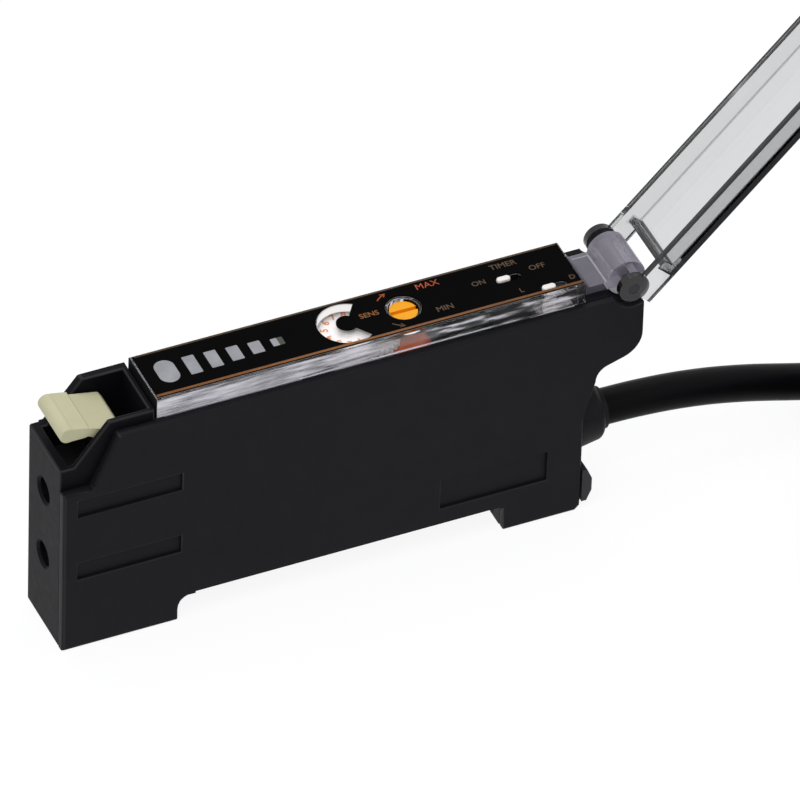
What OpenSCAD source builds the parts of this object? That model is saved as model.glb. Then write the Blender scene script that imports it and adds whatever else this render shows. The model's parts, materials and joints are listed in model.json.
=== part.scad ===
// Fibre optic sensor amplifier for a 35 mm rail, with its clear cover swung open.
// The origin is the middle of the rail seat. X runs from the fibre end to the cable end, Z is up.

/* [Body] */
// Width across the case and its side cover
body_w = 10; // [9:0.1:12]
// Length of the case at its feet
body_len = 62.7; // [60:0.1:70]
// How far the hinge end hangs out past the feet
overhang = 6.8; // [6:0.1:9]
// Height of that overhang, from its underside to the rim
overhang_h = 9.1; // [8.2:0.1:9.8]
// Slope of the overhang's underside
under_slope = 18; // [10:1:22]
// Radius of the overhang's lower corner
overhang_r = 3.2; // [1:0.1:4]
// Radius of the cove under the overhang
cove_r = 1.9; // [1:0.1:3]
// How far the rear wall leans out
lean = 1.3; // [0.6:0.1:2]
// Height at which the rear wall starts to lean
lean_start = 10.6; // [10.5:0.1:12]
// Height of the rim that carries the lens
rim_h = 26.3; // [25.8:0.1:28]
// Drop from the rim to the top of the front wall
front_drop = 4; // [3.3:0.1:5.3]
// Rise of the cheeks beside the lock lever above the rim
peak_rise = 1.3; // [0.7:0.1:2.2]
// Start of the cheek's slope from the front
cheek_start = 1.7; // [1.3:0.1:3]
// End of the cheek's slope from the front
cheek_end = 5.8; // [4.5:0.1:6.5]
// Wall of the case
wall = 1.2; // [0.9:0.05:1.4]
// Wall of the near cheek
cheek_t = 0.7; // [0.5:0.05:0.9]

/* [Feet and rail] */
// Height of the feet below the rail seat
foot_h = 3.2; // [3.1:0.1:4.5]
// Length of the rear foot
rear_foot = 9.4; // [9.2:0.1:10.5]
// Length of the recess between the feet
rail_gap = 39.4; // [39:0.1:41]
// Width of the rail
rail_w = 35; // [34.5:0.1:35.5]
// Thickness of the rail's lip
rail_t = 1; // [0.9:0.1:1.3]
// Reach of the hooks under the rail's lip
hook_reach = 1.2; // [0.8:0.1:1.5]
// Width of the hooks
hook_w = 3.5; // [3:0.1:4]
// Fillet at the front foot
foot_fillet = 1.6; // [0.5:0.1:2]
// Chamfer of the rear foot
foot_chamfer = 0.6; // [0.2:0.1:1]
// Height of the seat's land
land_t = 0.2; // [0.1:0.05:0.4]

/* [Side cover] */
// Thickness of the side cover
side_t = 1.1; // [0.8:0.05:1.4]
// Drop from the rim to its front stub
stub_drop = 6.8; // [5.3:0.1:7.7]
// Length of its front stub
stub_len = 3.4; // [2.5:0.1:4.5]
// Start of its full height from the front
side_rise = 6.5; // [6:0.1:8]
// Depth of the grooves
groove_d = 0.4; // [0.2:0.05:0.6]
// Chamfer of its outer edges
edge_c = 0.25; // [0.1:0.05:0.35]
// Start of the grip panels from the front
grip_start = 1.8; // [1:0.1:3]
// Reach of the grip panels past the front foot
grip_past = 0.25; // [0:0.05:1]
// Height of each grip panel
grip_h = 2.45; // [1.5:0.05:3]
// Drop from the stub's top to the upper grip panel
grip_drop = 1.2; // [0.8:0.1:2]
// Rise of the lower grip panel above the lower bore
grip_rise = 0.1; // [0:0.1:1]
// Size of the rear panel
panel_size = [12.9, 4.1];
// Distance of the rear panel from the rear wall
panel_back = 4.3; // [3:0.1:6]
// Height of the rear panel above the rail seat
panel_z = 2.6; // [1.5:0.1:4]
// Radius of the pegs
peg_r = 0.8; // [0.6:0.05:1]
// Length of the pegs
peg_len = 2; // [1.5:0.1:3]

/* [Fibre end] */
// Radius of the two fibre bores
fibre_r = 1.2; // [1.1:0.05:1.4]
// Radius of their mouths in the front wall
mouth_r = 1.5; // [1.45:0.05:1.8]
// Height of the lower bore
fibre_z = 6.7; // [6.2:0.1:7]
// Depth of the upper bore below the guide block's top
bore_depth = 3.2; // [2.9:0.1:3.5]
// Place of the bores across the case
fibre_y = 0.6; // [0.3:0.1:0.8]
// Height of the guide block's underside
guide_z = 3; // [2.5:0.1:3.5]
// Drop from the rim to the guide block's top
guide_drop = 7.1; // [6.8:0.1:7.5]
// Length of the guide block
guide_len = 11.2; // [10.8:0.1:11.8]
// Thickness of the clamp plate
clamp_t = 2; // [1.4:0.1:2.4]
// Lift of the clamp
clamp_lift = 0.8; // [0.5:0.1:1]
// Material beside the fibres in the clamp plate
clamp_side = 1; // [0.8:0.1:1.3]
// Floor under the clamp in the guide block
clamp_floor = 0.8; // [0.5:0.1:1.2]
// Radius of the light parts
diode_r = 1.5; // [1.3:0.05:1.6]
// Depth of the light parts in the guide block
diode_depth = 2; // [1.5:0.1:2.5]
// Thickness of their flanges
flange_t = 0.6; // [0.4:0.1:0.8]
// Width of their flanges
flange_w = 0.4; // [0.2:0.05:0.5]
// Distance between their leads
lead_pitch = 1.2; // [1:0.1:1.5]
// Chamfer of the bore mouths
mouth_c = 0.3; // [0.1:0.05:0.4]

/* [Lock lever] */
// Place of its pin from the front
lever_x = 7; // [6.8:0.1:7.2]
// Drop from the rim to its pin
lever_drop = 1.9; // [1.7:0.1:2.1]
// Radius of its pin
lever_pin_r = 0.6; // [0.5:0.05:0.7]
// Radius of its hub
hub_r = 1.7; // [1.5:0.05:1.8]
// Clearance at each side of the lever
lever_side = 0.25; // [0.2:0.05:0.7]
// Front end of the lever from the front face
lever_front = 0.4; // [0.2:0.1:1.2]
// Thickness of its finger bar
finger_t = 2; // [1.8:0.1:2.2]
// Height of its crease above the pin
crease_h = 2.25; // [2.15:0.05:2.4]
// Place of its crease from the front
crease_x = 3.8; // [3.5:0.1:4.1]
// Angle of the open lever
lever_open = 62; // [50:1:64]

/* [Lens and panel] */
// Front end of the lens from the front face
lens_front = 11.3; // [11.2:0.1:12]
// Reach of the lens past the rear wall
lens_past = 0.1; // [0:0.1:1]
// Distance of the lens from the outer faces
lens_inset = 1.1; // [1.05:0.05:1.15]
// Height of the lens
lens_t = 2.6; // [2.5:0.1:3]
// Thickness of its top
lens_top = 0.7; // [0.5:0.05:0.8]
// Thickness of its side walls
lens_side = 0.45; // [0.3:0.05:0.5]
// Thickness of its end walls
lens_end = 0.8; // [0.5:0.1:1]
// Height of the neck to the hinge drum
hinge_neck = 1.1; // [0.7:0.1:1.4]
// Thickness of the panel film
film_t = 0.2; // [0.1:0.05:0.3]
// Margin of the film
film_edge = 0.3; // [0.1:0.05:0.6]
// Clearance of the film round the adjuster
film_clear = 0.45; // [0.3:0.05:0.6]
// Place of the oval window from the front
oval_x = 14.25; // [14:0.05:14.5]
// Size of the oval window
oval_size = [2.4, 3.8];
// Place of the first bar from the front
bar_x = 17.26; // [17:0.01:17.6]
// Pitch of the bars
bar_pitch = 2.54; // [2.3:0.01:2.7]
// Length of each bar along the panel
bar_w = 1.45; // [1:0.05:1.8]
// Reach of each bar across the panel
bar_lengths = [3.1, 2.8, 2.4, 2, 1.3];

/* [Adjuster and dial] */
// Place of the adjuster from the front
adjuster_x = 42.5; // [42:0.1:43]
// Radius of the adjuster's head
adjuster_r = 1.6; // [1.3:0.05:1.7]
// Depth of the head below the panel
adjuster_drop = 0.5; // [0.2:0.1:0.8]
// Width of its screwdriver slot
slot_w = 0.5; // [0.4:0.05:0.7]
// Depth of that slot
slot_d = 0.5; // [0.3:0.05:0.6]
// Module of the gears
gear_module = 0.22; // [0.2:0.005:0.22]
// Teeth of each pinion
pinion_teeth = 7;
// Teeth of each wheel
wheel_teeth = 24;
// Play between meshing teeth
backlash = 0.05; // [0.03:0.01:0.07]
// Thickness of the gears
gear_t = 0.8; // [0.6:0.05:0.85]
// Clearance of the dial's disc in the lens
dial_gap = 0.15; // [0.1:0.05:0.4]
// Thickness of the dial's disc
dial_t = 0.6; // [0.4:0.05:0.7]
// Inner radius of the dial's window
window_r = 1.2; // [1:0.1:1.6]
// Angle left closed in the dial's window
window_gap = 110; // [90:1:130]

/* [Switches] */
// Distance of the timer knob from the lens's rear end
timer_back = 8.2; // [8:0.1:9]
// Place of the timer knob across the panel
timer_y = 0.2; // [0:0.1:0.4]
// Distance of the mode knob from the lens's rear end
mode_back = 4.1; // [4:0.1:4.2]
// Distance of the mode knob from the side cover
mode_edge = 1; // [0.9:0.05:1.1]
// Size of each knob
knob_size = [1.6, 0.75];
// Travel of each knob
knob_travel = 1.2; // [0.8:0.1:1.3]
// Height of each knob above the panel
knob_proud = 0.2; // [0.1:0.05:0.3]
// Height of the switch bodies
switch_h = 2.2; // [1.6:0.1:2.3]

/* [Clear cover] */
// Distance of the hinge from the rear end
hinge_back = 1.3; // [1.1:0.1:1.6]
// Rise of the hinge above the rim
hinge_rise = 1; // [0.9:0.1:1.3]
// Radius of the hinge pin
hinge_pin_r = 0.6; // [0.5:0.05:0.7]
// Radius of the cover's ears
ear_r = 1.75; // [1.5:0.05:1.9]
// Radius of the lens's hinge drum
drum_r = 2.3; // [2:0.05:2.35]
// Distance of the drum's ends from the lens's sides
drum_inset = 1.1; // [0.9:0.05:1.3]
// Distance of the cover's sides from the outer faces
cover_inset = 0.15; // [0.1:0.05:0.2]
// Thickness of the cover's top
cover_t = 0.9; // [0.6:0.05:1.1]
// Thickness of the cover's lips
lip_t = 0.8; // [0.5:0.05:0.82]
// Depth of the lips
lip_h = 3.3; // [3:0.05:3.35]
// Height of the closed cover's top above the hinge
cover_rise = 3.4; // [3.4:0.05:3.8]
// Front end of the closed cover from the front face
cover_front = 11.3; // [11.25:0.05:11.8]
// Distance of the cover's top from the hinge
plate_end = 3.5; // [3.3:0.1:3.8]
// Depth of the cover's wall at the hinge end
end_wall_h = 2.2; // [1.8:0.1:2.3]
// Angle of the open cover
cover_open = 134; // [134:1:136]

/* [Boards] */
// Thickness of the circuit boards
board_t = 0.8; // [0.6:0.1:1]
// Front end of the main board
board_front = 16; // [15.8:0.1:17]
// Distance of the main board from the rear wall's face
board_back = 8.7; // [7.7:0.1:12]
// Height of the main board's lower edge
board_z = 3; // [2:0.1:4]
// Gap from the main board's upper edge to the display board
board_drop = 1.4; // [1.2:0.1:3]
// Distance from the far wall to the main board
board_gap = 0.6; // [0.5:0.05:0.8]
// Drop from the rim to the display board's underside
display_drop = 3.1; // [2.9:0.1:3.3]
// Sizes of the three chips
chip_sizes = [[7, 5], [5, 4], [6, 4]];
// Places of the first two chips from the board's front end
chip_places = [6, 14.5];
// Distance of the last chip from the board's rear end
chip_back = 12; // [9:0.5:13]
// Rise of the chips above the board's lower edge
chip_rise = 8; // [7:0.5:9]
// Height of a chip over the board
chip_h = 1.5; // [1.2:0.1:2]
// Width of a chip's legs
leg_w = 0.4; // [0.3:0.05:0.5]
// Reach of a chip's legs
leg_reach = 0.8; // [0.5:0.1:1]
// Radius of the capacitor cans
can_r = 2; // [1.5:0.1:2.2]
// Height of the capacitor cans
can_h = 4; // [3:0.1:4.5]
// Distances of the cans from the board's rear end
can_backs = [13, 7];
// Rise of the cans above the board's lower edge
can_rise = 3.5; // [3:0.1:4]
// Size of a small capacitor
small_size = [1.6, 0.8];
// Pitch of the small capacitors
small_pitch = 2.4; // [2:0.1:2.6]
// Place of the small capacitors from the board's front end and lower edge
small_place = [5, 3];

/* [Cable] */
// Diameter of the cable
cable_d = 4.2; // [3.8:0.1:4.6]
// Height of the cable's exit
cable_z = 6.5; // [6.2:0.1:6.7]
// Radius of the grommet's lip
grommet_r = 3.8; // [3.5:0.1:3.8]
// Length of the grommet outside the case
grommet_len = 3.8; // [3.4:0.1:4]
// Radius of the coil's middle
coil_mid_r = 24.1; // [22:0.1:28]
// Turns of the coil side by side
coil_columns = 3;
// Layers of the coil
coil_layers = 4;

/* [Fits] */
// Clearance of pieces that seat in each other
seat_gap = 0.1; // [0.05:0.01:0.12]
// Running clearance of a pin in its hole
run_gap = 0.05; // [0.03:0.01:0.08]
// Clearance of a fixed pin in its hole
pin_gap = 0.02; // [0.01:0.01:0.03]
// Clearance of pieces that slide
slide_gap = 0.15; // [0.1:0.01:0.2]

/* [Hidden] */
$fn = 48;
e = 0.01;
past = 20;

// Places across the case
near_y = -body_w / 2;
case_y = near_y + side_t;
far_y = body_w / 2;
inner_y = far_y - wall;
chamber_y = case_y + cheek_t;
lever_y = (chamber_y + inner_y) / 2;
lever_w = inner_y - chamber_y - 2 * lever_side;
lens_w = body_w - 2 * lens_inset;
dial_r = lens_w / 2 - lens_side - dial_gap;
cover_w = body_w - 2 * cover_inset;
board_y = inner_y - board_gap - board_t;

// Places along the case
front_foot = body_len - rail_gap - rear_foot;
foot_x = rail_gap / 2;
front_x = -foot_x - front_foot;
rear_x = foot_x + rear_foot;
end_x = rear_x + overhang;
lean_x = rear_x + lean;
lens_x0 = front_x + lens_front;
lens_x1 = rear_x + lens_past;
chamber_lip = 0.7;
lens_seat = 1.1;
chamber_end = lens_x0 - chamber_lip;
cheek_back = lens_x0 - seat_gap;
bulkhead = lens_x0 + lens_seat;
rear_bulkhead = lens_x1 - wall;
board_x0 = front_x + board_front;
board_x1 = rear_x - board_back;
guide_x = front_x + wall;
guide_end = guide_x + guide_len;
pin_x = front_x + lever_x;

// Heights
floor_z = -foot_h;
overhang_z = rim_h - overhang_h;
under_from = [lean_x + cove_r * (1 - sin(under_slope)), overhang_z - cove_r * (1 - cos(under_slope))];
under_run = end_x - overhang_r * (1 - sin(under_slope)) - under_from[0];
under_z = under_from[1] + under_run * tan(under_slope) + overhang_r * cos(under_slope);
front_h = rim_h - front_drop;
peak_h = rim_h + peak_rise;
stub_h = rim_h - stub_drop;
guide_top = rim_h - guide_drop;
fibre_pitch = guide_top - bore_depth - fibre_z;
lever_z = rim_h - lever_drop;
hinge_z = rim_h + hinge_rise;
display_z = rim_h - display_drop;
board_top = display_z - board_drop;
hinge = [end_x - hinge_back, hinge_z];
notch_r = drum_r + slide_gap;
lens_z = rim_h + lens_t;
film_top = lens_z + film_t;
ceiling_z = lens_z - lens_top;
board_up = display_z + board_t;
plate_t = 1.3;
gear_float = 0.2;
plate_top = board_up + plate_t;
level_a = plate_top + gear_float;
level_b = level_a + gear_t + slide_gap;
disc_z = level_b + gear_t;
hook_top = -rail_t - slide_gap;
hook_lift = 0.6;
hook_z = floor_z + hook_lift;
hook_nose = 0.5;

// Gear train
pitch_pinion = gear_module * pinion_teeth / 2;
pitch_wheel = gear_module * wheel_teeth / 2;
gear_step = pitch_pinion + pitch_wheel;
adjust_x = front_x + adjuster_x;
idler_x = adjust_x - gear_step;
dial_x = idler_x - gear_step;
idler_pin_r = 0.35;
dial_pin_r = 0.4;
shaft_r = 0.5;
pressure = 25;
addendum = 0.8;
shift = 0.2;

// Rail latch
latch_nose = rail_w / 2 - hook_reach;
latch_gap = 0.15;
latch_top = -0.35;
tab_gap = 0.3;
tab_t = 1.2;
tab_slope = 1.4;
tab_top = cable_z - grommet_r - tab_gap;
spring_room = 4;
spring_x1 = rear_x - 3.6;
spring_x0 = spring_x1 - spring_room;
spring_r = 0.7;
spring_wire = 0.2;
spring_turns = 5;

// Cable route, in this frame, chosen by hand
route = [[23.5, 0, cable_z], [32.5, 0, cable_z], [37, 0, 6.4], [42, 0, 6], [47, 0, 5.2], [52, 0, 4],
    [57, 0, 2.5], [62, 0.4, 0.9], [67, 1.4, -0.2], [72, 2.6, -0.5]];
coil_at = [82, -25.4];
tie_t = 0.6;
tie_w = 3;
coil_z = floor_z + tie_t + seat_gap;
coil_in = coil_mid_r - coil_columns * cable_d / 2;
coil_out = coil_mid_r + coil_columns * cable_d / 2;
coil_h = coil_layers * cable_d;

function arc(cx, cz, r, a0, a1, n) = [for (i = [0:n]) let (a = a0 + (a1 - a0) * i / n)
    [cx + r * cos(a), cz + r * sin(a)]];

// Outline of the feet, recess and rear, from the front bottom corner to the rear top corner
function lower_outline() = concat(
    [[front_x, floor_z], [-foot_x, floor_z]],
    arc(foot_fillet - foot_x, land_t - foot_fillet, foot_fillet, 180, 90, 6),
    [[foot_x, land_t], [foot_x, floor_z], [rear_x - foot_chamfer, floor_z], [rear_x, floor_z + foot_chamfer],
        [rear_x, lean_start]],
    arc(lean_x + cove_r, overhang_z - cove_r, cove_r, 180, 90 + under_slope, 6),
    arc(end_x - overhang_r, under_z, overhang_r, under_slope - 90, 0, 8),
    [[end_x, rim_h]]);

module slab(y0, y1) {
    translate([0, y1, 0]) rotate([90, 0, 0]) linear_extrude(y1 - y0) children();
}

module block(x0, x1, y0, y1, z0, z1) {
    translate([x0, y0, z0]) cube([x1 - x0, y1 - y0, z1 - z0]);
}

module rod_x(x0, x1, y, z, r) {
    translate([x0, y, z]) rotate([0, 90, 0]) cylinder(h = x1 - x0, r = r);
}

module rod_y(x, y0, y1, z, r) {
    translate([x, y1, z]) rotate([90, 0, 0]) cylinder(h = y1 - y0, r = r);
}

// A long hole with round ends, from above
module long_hole(pos, size, z0, z1) {
    r = size[1] / 2;
    half = size[0] / 2 - r;
    block(pos[0] - half, pos[0] + half, pos[1] - r, pos[1] + r, z0, z1);
    for (s = [-1, 1]) translate([pos[0] + s * half, pos[1], z0]) cylinder(h = z1 - z0, r = r);
}

// A chamfer cut along an outline's edge from p to q, where it meets the outer face at y.
// It runs past an outer corner, and ends short of an inner corner.
over = 0.5;
short = -0.5;

module edge_cut(p, q, start, end, y) {
    d = q - p;
    s = edge_c * sqrt(2);
    translate([p[0], y, p[1]]) rotate([0, -atan2(d[1], d[0]), 0]) rotate([45, 0, 0])
        translate([-start, -s / 2, -s / 2]) cube([norm(d) + start + end, s, s]);
}

module edge_cuts(edges, y) {
    for (edge = edges) edge_cut(edge[0], edge[1], edge[2], edge[3], y);
}

// Edges that are chamfered on both outer faces
notch_x = hinge[0] - sqrt(pow(notch_r, 2) - pow(hinge_rise, 2));
heel_a = [rear_x - foot_chamfer, floor_z];
heel_b = [rear_x, floor_z + foot_chamfer];
foot_edges = [[[front_x, floor_z], [-foot_x, floor_z], over, over], [[foot_x, floor_z], heel_a, over, over],
    [heel_a, heel_b, over, over], [heel_b, [rear_x, lean_start], over, short]];

// Grip panels beside the fibre bores, as heights of their lower edges
grip_places = [stub_h - grip_drop - grip_h, fibre_z + grip_rise];
grip_x1 = grip_past - foot_x;

// Places of the pegs that hold the side cover, well inside the case
peg_wall = 0.6;
peg_step = 2;
peg_boss_r = peg_r + peg_wall;
peg_places = [[front_x + front_foot / 2, land_t], [bulkhead + peg_step, guide_top + peg_boss_r],
    [rear_x - wall - 2 * peg_step, overhang_z + peg_step]];

module case_outline() {
    difference() {
        polygon(concat(lower_outline(), [[cheek_back, rim_h], [cheek_back, peak_h],
            [front_x + cheek_end, peak_h], [front_x + cheek_start, front_h], [front_x, front_h]]));
        translate(hinge) circle(notch_r);
    }
}

module main_cavity() {
    base = land_t + wall;
    polygon([[front_x + wall, floor_z + wall], [-foot_x - wall, floor_z + wall], [-foot_x - wall, base],
        [rear_x - wall, base], [rear_x - wall, lean_start],
        [lean_x - wall, overhang_z - cove_r], [lean_x - wall, rim_h - 4 * wall],
        [rear_bulkhead, rim_h - 4 * wall],
        [rear_bulkhead, rim_h + past], [bulkhead, rim_h + past], [bulkhead, guide_top],
        [chamber_end, guide_top], [chamber_end, rim_h + past], [front_x + wall, rim_h + past]]);
}

module overhang_pocket() {
    polygon(concat([[lean_x + wall, overhang_z + wall]],
        arc(end_x - overhang_r, under_z, overhang_r - wall, under_slope - 90, 0, 6),
        [[end_x - wall, hinge_z - notch_r - wall], [lean_x + wall, hinge_z - notch_r - wall]]));
}

module case_shell() {
    difference() {
        slab(case_y, far_y) case_outline();
        slab(case_y - past, inner_y) main_cavity();
        slab(case_y - past, inner_y) overhang_pocket();
    }
    // Near cheek beside the lever, above the guide block
    difference() {
        slab(case_y, chamber_y) intersection() {
            case_outline();
            translate([front_x, guide_top]) square([bulkhead - front_x, past]);
        }
        rod_y(pin_x, case_y - past, far_y + past, lever_z, lever_pin_r + pin_gap);
    }
}

module rail_hook() {
    x0 = -foot_x - e;
    root = -rail_w / 2 - slide_gap;
    tip = -rail_w / 2 + hook_reach;
    slab(-hook_w / 2, hook_w / 2) polygon([[x0, hook_z], [tip - hook_nose, hook_z], [tip, hook_z + hook_nose],
        [tip, hook_top], [root, hook_top], [root, land_t + e], [x0, land_t + e]]);
}

// Channel of the rail latch through the rear foot
module latch_channel() {
    w = hook_w / 2 + latch_gap;
    block(foot_x - past, rear_x + past, -w, w, hook_z - latch_gap, latch_top + latch_gap);
}

// Ledge that carries the display board, and standoffs behind the main board
ledge_w = 0.7;
standoff_w = 2;
standoff_edge = [1, 0.5];

module board_carriers() {
    block(bulkhead - e, rear_bulkhead + e, inner_y - ledge_w, inner_y + e, display_z - board_t, display_z);
    for (x = [board_x0 + standoff_edge[0], board_x1 - standoff_edge[0] - standoff_w],
        z = [board_z + standoff_edge[1], board_top - standoff_edge[1] - standoff_w])
        block(x, x + standoff_w, inner_y - board_gap, inner_y + e, z, z + standoff_w);
}

cheek_top = [front_x + cheek_end, peak_h];
cheek_foot = [front_x + cheek_start, front_h];
cheek_edges = [[[notch_x, rim_h], [cheek_back, rim_h], over, short],
    [[cheek_back, peak_h], cheek_top, over, over],
    [cheek_foot, [front_x, front_h], short, over],
    [[front_x, front_h], [front_x, floor_z], over, over]];
land_clear = 0.8;
peg_spare = 0.5;
neck_t = 0.55;

module case() {
    land_half = rail_w / 2 - hook_reach - land_clear;
    pin_end = far_y - wall / 3;
    cable_hole = cable_d / 2 + neck_t + run_gap;
    color("#242428") difference() {
        union() {
            case_shell();
            rail_hook();
            block(-land_half, land_half, case_y, far_y, 0, land_t + e);
            board_carriers();
            for (p = peg_places) rod_y(p[0], case_y, inner_y + e, p[1], peg_boss_r);
        }
        for (p = peg_places) rod_y(p[0], case_y - past, case_y + peg_len + peg_spare, p[1], peg_r + seat_gap);
        rod_y(pin_x, case_y - past, pin_end, lever_z, lever_pin_r + pin_gap);
        for (i = [0, 1]) let (z = fibre_z + i * fibre_pitch) {
            rod_x(front_x - past, guide_x + wall / 2, fibre_y, z, mouth_r);
            translate([front_x, fibre_y, z]) rotate([0, 90, 0])
                cylinder(h = 2 * mouth_c, r1 = mouth_r + mouth_c, r2 = mouth_r - mouth_c);
        }
        rod_x(rear_x - 2 * wall, rear_x + past, 0, cable_z, cable_hole);
        latch_channel();
        for (z = grip_places)
            block(front_x + grip_start, grip_x1, far_y - groove_d, far_y + past, z, z + grip_h);
        edge_cuts(concat(cheek_edges, foot_edges), far_y);
    }
    // Post that the latch spring pushes against
    color("#242428") translate([spring_x1, 0, hook_z - 2 * latch_gap])
        cylinder(h = latch_top - hook_z + 4 * latch_gap, r = spring_r);
}

module side_outline() {
    difference() {
        polygon(concat(lower_outline(),
            [[front_x + side_rise, rim_h], [front_x + stub_len, stub_h], [front_x, stub_h]]));
        translate(hinge) circle(notch_r);
    }
}

side_top = [front_x + side_rise, rim_h];
stub_end = [front_x + stub_len, stub_h];
side_edges = [[[notch_x, rim_h], side_top, over, over], [side_top, stub_end, over, short],
    [stub_end, [front_x, stub_h], short, over], [[front_x, stub_h], [front_x, floor_z], over, over],
    [[foot_fillet - foot_x, land_t], [foot_x, land_t], short, short]];

module side_cover() {
    panel_x = rear_x - panel_back - panel_size[0];
    color("#202024") difference() {
        union() {
            slab(near_y, case_y) side_outline();
            for (p = peg_places) rod_y(p[0], case_y - e, case_y + peg_len, p[1], peg_r);
        }
        for (z = grip_places)
            block(front_x + grip_start, grip_x1, near_y - past, near_y + groove_d, z, z + grip_h);
        block(panel_x, panel_x + panel_size[0], near_y - past, near_y + groove_d,
            panel_z, panel_z + panel_size[1]);
        edge_cuts(concat(side_edges, foot_edges), near_y);
    }
}

module fibre_bores(r, x0, x1) {
    for (i = [0, 1]) rod_x(x0, x1, fibre_y, fibre_z + i * fibre_pitch, r);
}

clamp_half = fibre_r + clamp_side;
diode_x = guide_end - diode_depth;

module fibre_block() {
    color("#38383c") difference() {
        block(guide_x, guide_end, case_y + seat_gap, inner_y - seat_gap, guide_z, guide_top - seat_gap);
        fibre_bores(fibre_r, guide_x - past, diode_x + e);
        fibre_bores(diode_r + seat_gap, diode_x, guide_end + past);
        block(pin_x - clamp_t / 2 - slide_gap, pin_x + clamp_t / 2 + slide_gap,
            fibre_y - clamp_half - slide_gap, fibre_y + clamp_half + slide_gap, guide_z + clamp_floor,
            guide_top + past);
    }
}

// A light part in its can, with two leads bent to the board
lead_r = 0.2;
pad_r = 0.26;
lead_in = 1;

module light_part(z) {
    rod_x(diode_x + seat_gap, guide_end + flange_t, fibre_y, z, diode_r);
    rod_x(guide_end, guide_end + flange_t, fibre_y, z, diode_r + flange_w);
    for (s = [-lead_pitch / 2, lead_pitch / 2]) {
        rod_x(guide_end + flange_t / 2, board_x0 + lead_in, fibre_y, z + s, lead_r);
        rod_y(board_x0 + lead_in, fibre_y - 1.5 * lead_r, board_y, z + s, pad_r);
    }
}

module emitter_led() {
    color("#d8404a") light_part(fibre_z + fibre_pitch);
}

module receiver_diode() {
    color("#33364a") light_part(fibre_z);
}

module main_board() {
    color("#1f6b3a") block(board_x0, board_x1, board_y, board_y + board_t, board_z, board_top);
}

// A packaged chip with legs along its long sides, on the near face of the main board
leg_t = 0.5;
chip_float = 0.15;

module chip(x, size) {
    z = board_z + chip_rise;
    legs = floor(size[0] / (2 * leg_w));
    block(x, x + size[0], board_y - chip_h, board_y - chip_float, z, z + size[1]);
    for (i = [0:legs - 1]) let (lx = x + (i + 0.5) * size[0] / legs)
        block(lx - leg_w / 2, lx + leg_w / 2, board_y - leg_t, board_y, z - leg_reach,
            z + size[1] + leg_reach);
}

module board_chips() {
    color("#19191b") {
        for (i = [0, 1]) chip(board_x0 + chip_places[i], chip_sizes[i]);
        chip(board_x1 - chip_back, chip_sizes[2]);
    }
}

module board_capacitors() {
    color("#b9bcc4") {
        for (back = can_backs) rod_y(board_x1 - back, board_y - can_h, board_y, board_z + can_rise, can_r);
        for (i = [0:4]) let (x = board_x0 + small_place[0] + i * small_pitch, z = board_z + small_place[1])
            block(x, x + small_size[0], board_y - small_size[1], board_y, z, z + small_size[1]);
    }
}

display_gap = 0.3;

module display_board() {
    color("#1f6b3a") block(bulkhead + seat_gap, rear_bulkhead - seat_gap, case_y + display_gap,
        inner_y - seat_gap, display_z, board_up);
}

bar_places = [for (i = [0:len(bar_lengths) - 1]) front_x + bar_x + i * bar_pitch];

led_size = [1.6, 1.2, 0.7];

module indicator_leds() {
    color("#e9e2b8") for (x = concat([front_x + oval_x], bar_places))
        translate([x - led_size[0] / 2, -led_size[1] / 2, board_up]) cube(led_size);
}

// The oval and bar shapes of the indicator windows
module indicator_shapes(grow) {
    w = oval_size[0] / 2 + grow;
    reach = oval_size[1] / 2 + grow;
    translate([front_x + oval_x, w - reach]) circle(w);
    translate([front_x + oval_x, reach - w]) circle(w);
    translate([front_x + oval_x - w, w - reach]) square([2 * w, 2 * (reach - w)]);
    for (i = [0:len(bar_places) - 1])
        translate([bar_places[i] - bar_w / 2 - grow, -bar_lengths[i] / 2 - grow])
        square([bar_w + 2 * grow, bar_lengths[i] + 2 * grow]);
}

pipe_end = 1.2;
pipe_side = 0.6;
pipe_leg = 0.5;
pipe_t = 0.7;
pipe_gap = 0.2;

module light_pipe() {
    x0 = bulkhead + display_gap;
    x1 = bar_places[len(bar_places) - 1] + bar_w / 2 + pipe_end;
    half = oval_size[1] / 2 + pipe_side;
    z0 = board_up + led_size[2] + pipe_gap;
    color("#eeeeea") {
        block(x0, x1, -half, half, z0, z0 + pipe_t);
        for (x = [x0, x1 - pipe_leg]) block(x, x + pipe_leg, -half, half, board_up, z0 + pipe_t / 2);
        translate([0, 0, z0 + pipe_t / 2]) linear_extrude(ceiling_z - seat_gap - z0 - pipe_t / 2)
            indicator_shapes(0);
    }
}

timer_pos = [lens_x1 - timer_back, timer_y];
mode_pos = [lens_x1 - mode_back, case_y + mode_edge];
knob_hole = [knob_size[0] + knob_travel + 2 * slide_gap, knob_size[1] + 2 * slide_gap];

module knob_holes(z0, z1) {
    for (p = [timer_pos, mode_pos]) long_hole([p[0] + knob_travel / 2, p[1]], knob_hole, z0, z1);
}

// The neck falls from the rear of the lens to the drum
neck_step = 0.35;
neck_run = 0.9;

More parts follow.
